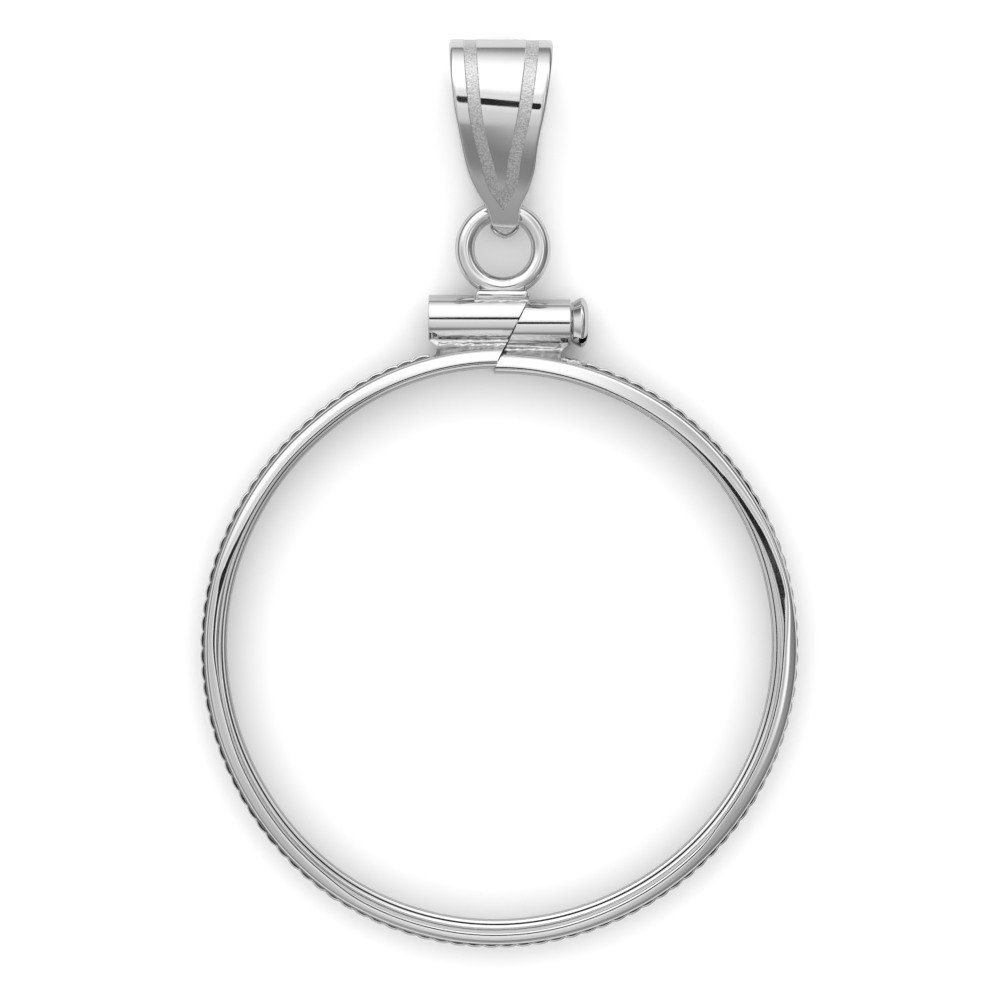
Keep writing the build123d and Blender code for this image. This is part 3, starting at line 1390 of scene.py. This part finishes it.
@dataclass
class ClosingScrew:
    """The slotted screw: a flared head with a domed face, and a threaded shank.

    Attributes:
        axis_y: height of the screw's axis.
        head_x: where the head starts.
        shank_length: length of the shank.
        core: radius of the shank under the thread.
        crest: how far the thread stands out of the core.
        pitch: distance from one turn of the thread to the next.
        tip: radius of the shank's end.
        point: length of the shank's taper.
        plain: length of the shank without thread below the head.
        neck: radius of the head at the tube.
        rim: radius of the head at its rim.
        flare: length of the head's cone.
        band: length of the rim.
        dome: height of the head's dome.
        face: radius of the dome's flat.
        slot_width: width of the slot.
        slot_depth: depth of the slot.
        slot_turn: degrees that the slot is turned.
    """

    axis_y: float = 15.44
    head_x: float = 3.44
    shank_length: float = 5.3
    core: float = 0.49
    crest: float = 0.07
    pitch: float = 0.25
    tip: float = 0.37
    point: float = 0.3
    plain: float = 0.55
    neck: float = 0.93
    rim: float = 1.19
    flare: float = 0.43
    band: float = 0.04
    dome: float = 0.33
    face: float = 0.6
    slot_width: float = 0.34
    slot_depth: float = 0.45
    slot_turn: float = 38.0

    def body(self) -> Piece:
        """Draws the shank and the head out of one circle, from the point to the face.

        Returns:
            The closed screw body.
        """
        start = self.head_x - self.shank_length
        bpy.ops.mesh.primitive_circle_add(
            vertices=96,
            radius=self.tip,
            fill_type="NGON",
            location=(start, self.axis_y, 0),
            rotation=(0, math.pi / 2, 0),
        )
        piece = named("closing_screw")
        settle(piece)
        profile = [
            (self.point, self.core),
            (self.shank_length - self.point, self.core),
            (0.0, self.neck),
            (self.flare, self.rim),
            (self.band, self.rim),
        ]
        rounds = 6
        for index in range(1, rounds + 1):
            turn = math.radians(90 * index / rounds)
            before = math.radians(90 * (index - 1) / rounds)
            profile.append(
                (
                    self.dome * (math.sin(turn) - math.sin(before)),
                    self.face + (self.rim - self.face) * math.cos(turn),
                )
            )
        radius = self.tip
        place = start
        with shaping(piece):
            for step, wide in profile:
                place += step
                draw_out((step, 0, 0))
                bpy.ops.transform.resize(
                    value=(1, wide / radius, wide / radius),
                    center_override=(place, self.axis_y, 0),
                )
                radius = wide
            pick_all()
            bpy.ops.mesh.normals_make_consistent(inside=False)
        return piece

    def thread(self) -> Piece:
        """Winds the thread's ridge round the shank.

        Returns:
            The ridge, closed at its ends.
        """
        turns = int((self.shank_length - self.point - self.plain) / self.pitch)
        bpy.ops.mesh.primitive_circle_add(vertices=3, radius=self.crest, location=(0, self.core, 0))
        piece = named("screw_thread")
        settle(piece)
        modify(
            piece,
            "SCREW",
            axis="X",
            steps=24,
            render_steps=24,
            angle=math.tau,
            screw_offset=self.pitch,
            iterations=turns,
        )
        piece.location = (self.head_x - self.shank_length + self.point, self.axis_y, 0)
        settle(piece)
        with shaping(piece):
            bpy.ops.mesh.select_all(action="DESELECT")
            bpy.ops.mesh.select_non_manifold()
            bpy.ops.mesh.fill_holes(sides=3)
            pick_all()
            bpy.ops.mesh.normals_make_consistent(inside=False)
        return piece

    def build(self, finishes: Finishes) -> Piece:
        """Builds and finishes the screw.

        Args:
            finishes: the materials.

        Returns:
            The screw.
        """
        screw = self.body()
        face_x = self.head_x + self.flare + self.band + self.dome
        size = (2 * self.slot_depth, 4 * self.rim, self.slot_width)
        cut(screw, block("slot_tool", size, (face_x, self.axis_y, 0), -self.slot_turn))
        modify(screw, "BEVEL", width=0.02, segments=2, limit_method="ANGLE", angle_limit=math.radians(50))
        gather(screw, [self.thread()])
        return finish_piece(screw, Body.SCREW, finishes.polished)


@dataclass
class Bail:
    """The bail: a tapered strip folded over the loop's wire, with two sand-blasted bands in a V.

    The strip is shaped in its own frame: x across it, y from the wire to the barrel, z to its front.

    Attributes:
        strip: thickness of the strip.
        barrel: outside radius of the barrel.
        reach: distance from the wire to the barrel's centre.
        pocket: outside radius of the fold round the wire.
        flank: outside radius of the two flanks.
        wire: the wire's place in the row frame.
        lean: degrees that the bail leans to the left.
        back_rest: half of the hoop's depth, on which the bail's back rests as well.
        top_width: width of the strip's top.
        tongue_width: width of the two tongues.
        point: length of a tongue's pointed end.
        front_tip: where the front tongue ends.
        back_tip: where the back tongue ends.
        band_start: distance from the strip's edge to a band.
        band_end: distance from the strip's edge to a band's far side.
        recess: how deep the bands lie.
        ramp: width of the step down to a band.
        edge: rounding of the strip's edges.
        shallow: radius of the barrel's front, which is less curved than the rest.
        tight: radius from there to the barrel's top.
        join: degrees from the barrel's front to where the two meet.
        turn: how far the barrel is turned out of square with the strip, as a slope.
        turn_span: reach where that slope starts and where it is full.
        twist: slope that the front gains for each millimetre to the right.
        back_point: length of the back tongue's pointed end, as a share of the front one's.
        tongue_curve: powers along and across that round a tongue's end.
        tongue_least: half of a tongue's width where it ends.
        tongue_edge: least share of the edge's rounding on the tongues, and its share beside the wire.
        rim_drop: share of a true round by which the rim drops outside, and share of that inside.
        flank_spans: spans along a flank.
        barrel_spans: spans round the barrel.
        closure_size: size of the solder between the tongues.
        closure_place: place of that solder.
        rows: reach, left and right distances to the strip's edges.
        drift: reach, and how much further in the bands start and end there.
    """

    strip: float = 0.3
    barrel: float = 2.95
    reach: float = 5.17
    pocket: float = 1.09
    flank: float = 20.0
    wire: Triple = (0.26, 20.77, 0.0)
    lean: float = 1.2
    back_rest: float = 1.55
    top_width: float = 4.88
    tongue_width: float = 1.4
    point: float = 0.8
    front_tip: float = -1.04
    back_tip: float = -1.45
    band_start: float = 0.68
    band_end: float = 1.26
    recess: float = 0.03
    ramp: float = 0.035
    edge: float = 0.17
    shallow: float = 3.26
    tight: float = 1.4
    join: float = 56.3
    turn: float = -0.033
    turn_span: Pair = (1.5, 4.0)
    twist: float = -0.026
    back_point: float = 0.65
    tongue_curve: Pair = (1.8, 0.7)
    tongue_least: float = 0.07
    tongue_edge: Pair = (0.3, 0.7)
    rim_drop: Pair = (0.92, 0.7)
    flank_spans: int = 44
    barrel_spans: int = 110
    closure_size: Triple = (0.7, 0.24, 0.96)
    closure_place: Triple = (0.0, -0.78, -0.02)
    rows: tuple[Triple, ...] = (
        (5.69, 2.29, 2.07),
        (3.36, 1.98, 1.63),
        (2.33, 1.78, 1.51),
        (1.34, 1.42, 1.24),
        (0.52, 1.0, 0.87),
        (0.10, 0.79, 0.73),
    )
    drift: tuple[Triple, ...] = (
        (0.0, 0.16, 0.0),
        (0.5, 0.12, 0.0),
        (1.3, 0.04, 0.0),
        (2.5, 0.12, 0.1),
        (3.6, 0.04, 0.03),
        (4.6, 0.0, 0.0),
    )

    def __post_init__(self) -> None:
        """Works out where the flanks touch the barrel and the fold, and how the bail lies."""
        tip_arm = self.flank - self.pocket
        barrel_arm = self.flank - self.barrel
        self.flank_y = (tip_arm**2 - barrel_arm**2 + self.reach**2) / (2 * self.reach)
        self.flank_z = -math.sqrt(tip_arm**2 - self.flank_y**2)
        self.tip_turn = math.atan2(-self.flank_z, -self.flank_y)
        self.barrel_turn = math.atan2(-self.flank_z, self.reach - self.flank_y)
        self.tilt = max(
            math.asin((self.barrel - self.back_rest) / self.reach),
            math.atan2(self.flank_y, -self.flank_z) - math.acos((self.flank - self.back_rest) / tip_arm),
        )

    def place(self) -> Matrix:
        """The bail's own frame in the row frame.

        Returns:
            The matrix that lays the bail down.
        """
        lean = math.radians(self.lean)
        across = Vector((math.cos(lean), math.sin(lean), 0))
        along = Vector(
            (
                -math.sin(lean) * math.cos(self.tilt),
                math.cos(lean) * math.cos(self.tilt),
                math.sin(self.tilt),
            )
        )
        front = across.cross(along)
        turn = Matrix((across, along, front)).transposed().to_4x4()
        return Matrix.Translation(self.wire) @ turn

    def tip(self, point: Vector) -> float:
        """Where the tongue ends on a point's side of the bail."""
        return self.front_tip if point.z > 0 else self.back_tip

    def edges_at(self, height: float, tip: float) -> Pair:
        """Distances from the middle to the strip's left and right edges.

        Args:
            height: how far along the bail, from the wire.
            tip: where this side's tongue ends.

        Returns:
            The left and the right distance.
        """
        half = self.top_width / 2
        tongue = self.tongue_width / 2
        point = self.point * (1 if tip > self.back_tip else self.back_point)
        shoulder = tip + point
        if height <= shoulder:
            share = min(1.0, (shoulder - height) / point)
            along, across = self.tongue_curve
            wide = max(self.tongue_least, tongue * (1 - share**along) ** across)
            return wide, wide
        table = [(self.reach + self.barrel + self.strip, half, half), *self.rows, (shoulder, tongue, tongue)]
        rows = sorted(table)
        return read_rows(rows, height, 1), read_rows(rows, height, 2)

    def band(self, height: float) -> Pair:
        """Where a band starts and ends, as distances from the strip's edge, at a height."""
        start, end = (read_rows(self.drift, max(height, 0.0), side) for side in (1, 2))
        return self.band_start + start, self.band_end + end

    def columns(self, height: float) -> list[float]:
        """Where the strip is divided between an edge and its middle: distance from the edge, or a share.

        Args:
            height: how far along the bail, from the wire.

        Returns:
            Distances up to the band's far side, then shares of what is left as negative numbers.
        """
        start, end = self.band(height)
        ramp = self.ramp
        rim = [self.edge * (1 - math.sin(math.radians(22.5 * step))) for step in (4, 3, 2, 1, 0)]
        apart = [*rim, 0.3, 0.5, start - ramp / 2, start + ramp / 2]
        inside = [start + (end - start) * share for share in (0.2, 0.4, 0.6, 0.8)]
        return [*apart, *inside, end - ramp / 2, end + ramp / 2, -0.25, -0.5, -0.75]

    def across(self, height: float, left: float, right: float) -> list[Pair]:
        """Places across one row of the strip, each with its distance from the nearer edge.

        Args:
            height: how far along the bail, from the wire.
            left: distance from the middle to the left edge.
            right: distance from the middle to the right edge.

        Returns:
            Place and distance for every column, from left to right.
        """
        row = []
        half = (left + right) / 2
        middle = (right - left) / 2
        last = self.band(height)[1] + self.ramp / 2
        for side in (-1, 1):
            ways = []
            for step in self.columns(height):
                if step < 0:
                    distance = min(half, last) - step * (half - min(half, last))
                else:
                    distance = min(half, step)
                ways.append((middle + side * (half - distance), distance))
            row.extend(ways if side < 0 else [(middle, half), *reversed(ways)])
        return row

    def sunk(self, height: float, distance: float) -> float:
        """How deep the surface lies at a height and a distance from the strip's edge.

        Args:
            height: how far along the bail, from the wire.
            distance: distance from the nearer edge.

        Returns:
            The depth, 0 outside the bands.
        """
        start, end = self.band(height)
        rise = (distance - start) / self.ramp + 0.5
        fall = (end - distance) / self.ramp + 0.5
        return self.recess * clamp(min(rise, fall))

    def sweep(self) -> Piece:
        """Sweeps a straight edge from the front tongue over the barrel to the back tongue.

        Returns:
            The outer surface as a plain sheet 2 wide, in even columns.
        """
        count = 2 * len(self.columns(0.0))
        bpy.ops.mesh.primitive_plane_add(size=2.0)
        piece = named("bail_strip")
        low_y = self.pocket * math.cos(self.tip_turn)
        low_z = self.pocket * math.sin(self.tip_turn)
        slope = Vector((0, math.sin(self.tip_turn), -math.cos(self.tip_turn)))
        front = (self.front_tip - low_y) / slope.y
        back = (low_y - self.back_tip) / slope.y
        begin = Vector((0, low_y, low_z)) + slope * front
        with shaping(piece):
            pick(Part.CORNERS, lambda m: m.y > 0)
            bpy.ops.mesh.delete(type="VERT")
            pick_all()
            bpy.ops.transform.translate(value=begin + Vector((0, 1, 0)))
            bpy.ops.mesh.subdivide(number_cuts=count - 1)
            for step in self.even_to_fine(-front, True):
                draw_out(slope * step)
            for steps, angle, centre_y, centre_z in (
                (self.flank_spans, self.tip_turn - self.barrel_turn, self.flank_y, self.flank_z),
                (self.barrel_spans, 2 * self.barrel_turn, self.reach, 0.0),
                (self.flank_spans, self.tip_turn - self.barrel_turn, self.flank_y, -self.flank_z),
            ):
                bpy.ops.mesh.spin(steps=steps, angle=angle, center=(0, centre_y, centre_z), axis=(1, 0, 0))
            down = Vector((0, -slope.y, slope.z))
            for step in self.even_to_fine(back, False):
                draw_out(down * step)
        return piece

    @staticmethod
    def even_to_fine(length: float, opening: bool) -> list[float]:
        """Steps along a tongue, finest at its tip.

        Args:
            length: the tongue's length.
            opening: whether the tip comes first.

        Returns:
            The steps, which add up to the length.
        """
        count = 14
        marks = [length * (1 - math.cos(math.pi / 2 * index / count)) for index in range(count + 1)]
        steps = [after - before for before, after in zip(marks, marks[1:])]
        return steps if opening else steps[::-1]

    def strip_piece(self, *looks: Look) -> Piece:
        """Gives the swept sheet its outline, its bands and its thickness.

        Args:
            looks: the materials of the strip and of its bands, which the thickness needs to tell them apart.

        Returns:
            The strip, with its bands as the second material on the outside alone.
        """
        piece = self.sweep()
        for look in looks:
            piece.data.materials.append(look)
        mesh = piece.data
        count = 2 * len(self.columns(0.0))
        bend = Vector((0, self.reach, 0))
        for corner in mesh.vertices:
            column = round((corner.co.x + 1) / 2 * count)
            height = corner.co.y
            place, distance = self.across(height, *self.edges_at(height, self.tip(corner.co)))[column]
            outward = self.outward(corner.co, bend)
            corner.co = self.bowed(corner.co)
            corner.co.x = place
            corner.co -= outward * self.sunk(height, distance)
        with shaping(piece):
            bpy.ops.mesh.remove_doubles(threshold=0.0008)
            bpy.ops.mesh.normals_make_consistent(inside=False)
        self.face_out(piece)
        self.mark_bands(piece)
        modify(
            piece,
            "SOLIDIFY",
            thickness=self.strip,
            offset=-1.0,
            use_even_offset=True,
            material_offset=-1,
            material_offset_rim=-1,
        )
        self.ease_edges(piece, bend)
        for corner in piece.data.vertices:
            x, y = corner.co.x, corner.co.y
            share = clamp((y - self.turn_span[0]) / (self.turn_span[1] - self.turn_span[0]))
            corner.co.y += self.turn * x * share * share * (3 - 2 * share)
            front = clamp(0.5 + corner.co.z / self.barrel)
            corner.co.z += self.twist * x * (y - self.reach) * front
        return piece

    def bowed(self, point: Vector) -> Vector:
        """Moves a point of the swept sheet onto the barrel's hand-bent front.

        Args:
            point: the point on the clean sheet.

        Returns:
            Its new place.
        """
        over = point.y - self.reach
        if point.z > 0.01 and over > 0:
            lean = math.atan2(over, point.z)
            join = math.radians(self.join)
            first = min(lean, join)
            y = self.shallow * math.sin(first)
            z = self.barrel - self.shallow * (1 - math.cos(first))
            if lean > join:
                y += self.tight * (math.sin(lean) - math.sin(join))
                z -= self.tight * (math.cos(join) - math.cos(lean))
            return Vector((point.x, self.reach + y, z))
        return point.copy()

    def ease_edges(self, piece: Piece, bend: Vector) -> None:
        """Rounds the strip's rim on both of its faces.

        Args:
            piece: the strip with its thickness, its outer corners first and the inner ones after them.
            bend: the barrel's centre.
        """
        corners = piece.data.vertices
        count = len(corners) // 2
        for index in range(count):
            outer, inner = corners[index].co, corners[index + count].co
            distance = self.from_rim(outer, self.tip(outer))
            edge = self.edge * max(self.tongue_edge[0], min(1.0, outer.y + self.tongue_edge[1]))
            short = max(0.0, edge - distance)
            drop = self.rim_drop[0] * (edge - math.sqrt(max(0.0, edge**2 - short**2)))
            outward = self.outward(outer, bend)
            corners[index].co = outer - outward * drop
            corners[index + count].co = inner + outward * drop * self.rim_drop[1]

    def from_rim(self, point: Vector, tip: float) -> float:
        """Distance from a point of the strip to the nearest part of its rim.

        Args:
            point: the point, in the bail's own frame.
            tip: where this side's tongue ends.

        Returns:
            The distance.
        """
        left, right = self.edges_at(point.y, tip)
        below = self.edges_at(point.y - 0.02, tip)
        slope = min(4.0, abs(left - below[0]) / 0.02)
        gap = max(0.0, min(left + point.x, right - point.x))
        return min(gap / math.sqrt(1 + slope**2), max(0.0, point.y - tip))

    def outward(self, point: Vector, bend: Vector) -> Vector:
        """The way out of the strip's outer surface at a point of the swept sheet.

        Args:
            point: the point.
            bend: the barrel's centre.

        Returns:
            The way, of length 1.
        """
        front = 1.0 if point.z > 0 else -1.0
        high = self.reach + self.barrel * math.cos(self.barrel_turn)
        low = self.pocket * math.cos(self.tip_turn)
        if point.y > high:
            away = Vector((0, point.y - bend.y, point.z))
        elif point.y > low:
            away = Vector((0, point.y - self.flank_y, point.z - front * self.flank_z))
        else:
            away = Vector((0, math.cos(self.tip_turn), front * math.sin(self.tip_turn)))
        return away.normalized()

    def face_out(self, piece: Piece) -> None:
        """Turns the sheet over if its faces point into the fold."""
        top = max(piece.data.polygons, key=lambda face: face.center.y)
        if top.normal.y < 0:
            with shaping(piece):
                bpy.ops.mesh.flip_normals()

    def mark_bands(self, piece: Piece) -> None:
        """Gives the faces of the two bands the second material slot."""
        for face in piece.data.polygons:
            centre = face.center
            left, right = self.edges_at(centre.y, self.tip(centre))
            distance = min(left + centre.x, right - centre.x)
            start, end = self.band(centre.y)
            face.material_index = int(start - self.ramp / 2 < distance < end + self.ramp / 2)

    def closure(self) -> Piece:
        """Makes the solder that closes the fold behind the wire, between the two tongues.

        Returns:
            The solder.
        """
        piece = block("tongue_solder", self.closure_size, self.closure_place)
        with shaping(piece):
            bpy.ops.mesh.bevel(offset=0.1, segments=4, affect="EDGES")
            pick_all()
            bpy.ops.mesh.subdivide(number_cuts=3)
        lumpy(piece, 0.3, 0.05)
        return piece

    def build(self, finishes: Finishes) -> list[Piece]:
        """Builds and finishes the bail.

        Args:
            finishes: the materials.

        Returns:
            The strip and its closing solder.
        """
        made = []
        strip = self.strip_piece(finishes.polished, finishes.satin)
        for piece in (strip, self.closure()):
            piece.matrix_world = self.place() @ piece.matrix_world
            made.append(finish_piece(piece, Body.BAIL, finishes.solder, 38))
        return made


def steady(at: float, places: list[float], values: list[float]) -> float:
    """A smooth curve through points that never swings past them.

    Args:
        at: where to read the curve.
        places: the points' places, rising.
        values: the points' values.

    Returns:
        The curve's value.
    """
    x, y = np.array(places), np.array(values)
    if at >= x[-1]:
        return float(y[-1])
    run = np.diff(x)
    rise = np.diff(y) / run
    slopes = np.zeros(len(x))
    for index in range(1, len(x) - 1):
        if rise[index - 1] * rise[index] > 0:
            first = 2 * run[index] + run[index - 1]
            second = run[index] + 2 * run[index - 1]
            slopes[index] = (first + second) / (first / rise[index - 1] + second / rise[index])
    span = max(0, int(np.searchsorted(x, at, side="right")) - 1)
    share = (at - x[span]) / run[span]
    rest = 1 - share
    return float(
        y[span] * (1 + 2 * share) * rest**2
        + slopes[span] * run[span] * share * rest**2
        + y[span + 1] * share**2 * (3 - 2 * share)
        - slopes[span + 1] * run[span] * share**2 * rest
    )


def read_rows(rows: Sequence[tuple[float, ...]], at: float, column: int = 1) -> float:
    """Reads one column of a table between its rows.

    Args:
        rows: the table, whose first column rises.
        at: where to read it.
        column: the column to read.

    Returns:
        The column's value there.
    """
    return steady(at, [row[0] for row in rows], [row[column] for row in rows])


# Studio


@dataclass
class Studio:
    """Pale paper, a bright tent of light and the camera straight above.

    Attributes:
        floor_z: height of the paper in millimetres.
        camera_place: the camera's place in millimetres.
        lens: focal length.
        sensor: sensor width.
        lens_place: the dark lens that the metal reflects, in millimetres.
        lens_radius: radius of that lens.
        sides: direction of a side of the tent, clockwise from the bail's, and the tent's brightness there:
            angle from straight up, and level.
        paper_light: light on the paper, and how much it grows towards the bail and to the right.
    """

    floor_z: float = -1.55
    camera_place: Triple = (0.047, 6.98, 144.55)
    lens: float = 109.15
    sensor: float = 36.0
    lens_place: Triple = (0.0, 1.0, 145.5)
    lens_radius: float = 14.8
    sides: tuple[tuple[float, Curve], ...] = (
        (0, ((0, 1.1), (12, 1.6), (50, 1.6), (60, 1.38), (70, 1.15), (78, 0.85), (85, 0.5), (90, 0.3))),
        (45, ((0, 1.1), (10, 0.9), (25, 0.74), (48, 0.68), (53, 1.5), (62, 1.6), (68, 0.35), (90, 0.15))),
        (90, (
            (0, 1.1), (10, 0.6), (18, 0.46), (24, 1.5), (31, 1.6), (37, 0.36), (60, 0.3), (72, 0.22),
            (90, 0.12),
        )),
        (135, ((0, 1.1), (12, 0.66), (30, 0.5), (50, 0.48), (60, 0.36), (70, 0.28), (90, 0.22))),
        (180, (
            (0, 1.1), (12, 1.2), (25, 0.95), (44, 0.82), (50, 0.68), (55, 0.42), (60, 0.28), (66, 0.3),
            (71, 0.5), (90, 0.42),
        )),
        (225, ((0, 1.1), (12, 0.8), (30, 0.68), (60, 0.64), (72, 0.5), (82, 0.3), (90, 0.2))),
        (270, ((0, 1.1), (10, 0.88), (24, 0.74), (54, 0.72), (60, 1.1), (68, 0.7), (80, 0.22), (90, 0.18))),
        (315, ((0, 1.1), (10, 0.95), (22, 1.1), (30, 1.65), (58, 1.7), (69, 0.6), (80, 0.2), (90, 0.18))),
    )
    paper_light: Triple = (1.68, 0.45, -0.1)

    def floor(self, finishes: Finishes) -> Piece:
        """Lays the paper under the bezel.

        Args:
            finishes: the materials.

        Returns:
            The paper.
        """
        put_down()
        bpy.ops.mesh.primitive_plane_add(size=3.0, location=(0, 0, self.floor_z * MM))
        paper = named("paper")
        settle(paper)
        paper.data.materials.append(finishes.paper)
        return paper

    def camera(self) -> Piece:
        """Sets the camera straight above the bezel.

        Returns:
            The camera.
        """
        put_down()
        bpy.ops.object.camera_add(location=[MM * place for place in self.camera_place], rotation=(0, 0, 0))
        camera = bpy.context.object
        camera.name = "camera"
        camera.data.lens = self.lens
        camera.data.sensor_width = self.sensor
        camera.data.clip_start = 0.001
        camera.data.clip_end = 20.0
        bpy.context.scene.camera = camera
        return camera

    def dark_lens(self) -> Piece:
        """Hangs the dark disc of the lens above the bezel, seen only in the metal.

        Returns:
            The disc.
        """
        put_down()
        bpy.ops.mesh.primitive_circle_add(
            vertices=96,
            radius=self.lens_radius * MM,
            fill_type="NGON",
            location=[MM * place for place in self.lens_place],
        )
        disc = named("dark_lens")
        settle(disc)
        black = bpy.data.materials.new("lens_black")
        black.use_nodes = True
        shader = black.node_tree.nodes["Principled BSDF"]
        shader.inputs["Base Color"].default_value = (0.01, 0.01, 0.01, 1)
        shader.inputs["Roughness"].default_value = 0.6
        disc.data.materials.append(black)
        disc.visible_camera = False
        disc.visible_diffuse = False
        disc.visible_shadow = False
        return disc

    def tent(self) -> None:
        """Lights the metal with a bright tent, one fall-off towards each side, and the paper by itself."""
        world = bpy.data.worlds.new("tent")
        bpy.context.scene.world = world
        world.use_nodes = True
        world.cycles.sampling_method = "NONE"
        tree = Tree(world.node_tree)
        work = tree.work
        where = tree.add("ShaderNodeTexCoord")
        parts = tree.add("ShaderNodeSeparateXYZ")
        tree.join(where.outputs["Generated"], parts.inputs["Vector"])
        x, y, z = (parts.outputs[name] for name in "XYZ")
        flat = work("SQRT", work("MAXIMUM", work("SUBTRACT", 1.0, work("MULTIPLY", z, z)), 0.000001))
        total = 0.0
        narrow = math.cos(2 * math.pi / len(self.sides))
        for direction, stops in self.sides:
            turn = math.radians(direction)
            along = work("MULTIPLY_ADD", y, math.cos(turn), work("MULTIPLY", x, math.sin(turn)))
            near = work("SUBTRACT", work("DIVIDE", along, flat), narrow)
            share = work("MULTIPLY", work("MAXIMUM", near, 0.0), 1 / (1 - narrow))
            lit = self.fall_off(tree, z, stops)
            total = work("MULTIPLY_ADD", lit, work("MULTIPLY", share, share), total)
        soft = work("MULTIPLY_ADD", y, self.paper_light[1], self.paper_light[0])
        soft = work("MULTIPLY_ADD", x, self.paper_light[2], soft)
        path = tree.add("ShaderNodeLightPath")
        gap = work("SUBTRACT", soft, total)
        level = work("MULTIPLY_ADD", gap, path.outputs["Is Diffuse Ray"], total)
        light = tree.add("ShaderNodeBackground")
        light.inputs["Color"].default_value = (1.0, 1.0, 1.0, 1.0)
        output = tree.add("ShaderNodeOutputWorld")
        tree.join(level, light.inputs["Strength"])
        tree.join(light.outputs["Background"], output.inputs["Surface"])

    @staticmethod
    def fall_off(tree: Tree, rise: Socket, stops: Curve) -> Socket:
        """Makes one side's brightness from straight up down to level.

        Args:
            tree: the tent's tree.
            rise: the socket with the cosine of the angle from straight up.
            stops: angle from straight up, and level.

        Returns:
            The socket with the brightness.
        """
        ramp = tree.add("ShaderNodeValToRGB")
        brightest = max(level for _, level in stops)
        marks = sorted((math.cos(math.radians(angle)), level) for angle, level in stops)
        ramp.color_ramp.elements[0].position = marks[0][0]
        ramp.color_ramp.elements[1].position = marks[-1][0]
        for place, _ in marks[1:-1]:
            ramp.color_ramp.elements.new(place)
        for element, (_, level) in zip(ramp.color_ramp.elements, marks):
            element.color = (*(level / brightest,) * 3, 1)
        tree.join(rise, ramp.inputs["Fac"])
        return tree.work("MULTIPLY", ramp.outputs["Color"], brightest)

    def set_up(self, finishes: Finishes) -> None:
        """Sets up the camera, the paper and the light.

        Args:
            finishes: the materials.
        """
        self.camera()
        self.floor(finishes)
        self.dark_lens()
        self.tent()
        view = bpy.context.scene.view_settings
        view.view_transform = "Standard"
        view.look = "None"
        view.exposure = 0.0
        cycles = bpy.context.scene.cycles
        cycles.caustics_reflective = False
        cycles.caustics_refractive = False


def main() -> None:
    """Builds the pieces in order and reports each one."""
    logging.basicConfig(level=logging.INFO, format="%(name)s: %(message)s")
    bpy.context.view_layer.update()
    finishes = Finishes.mixed()
    Studio().set_up(finishes)
    split = Split()
    hoop = Hoop(split, HandWork())
    tube = ScrewTube(split)
    hoop.build(finishes)
    CoinEdge(hoop).build(finishes)
    tube.build(finishes)
    SolderSaddle(split, tube, hoop).build(finishes)
    LoopOnBar().build(finishes)
    ClosingScrew().build(finishes)
    Bail().build(finishes)
    put_down()


if __name__ == "__main__":
    main()
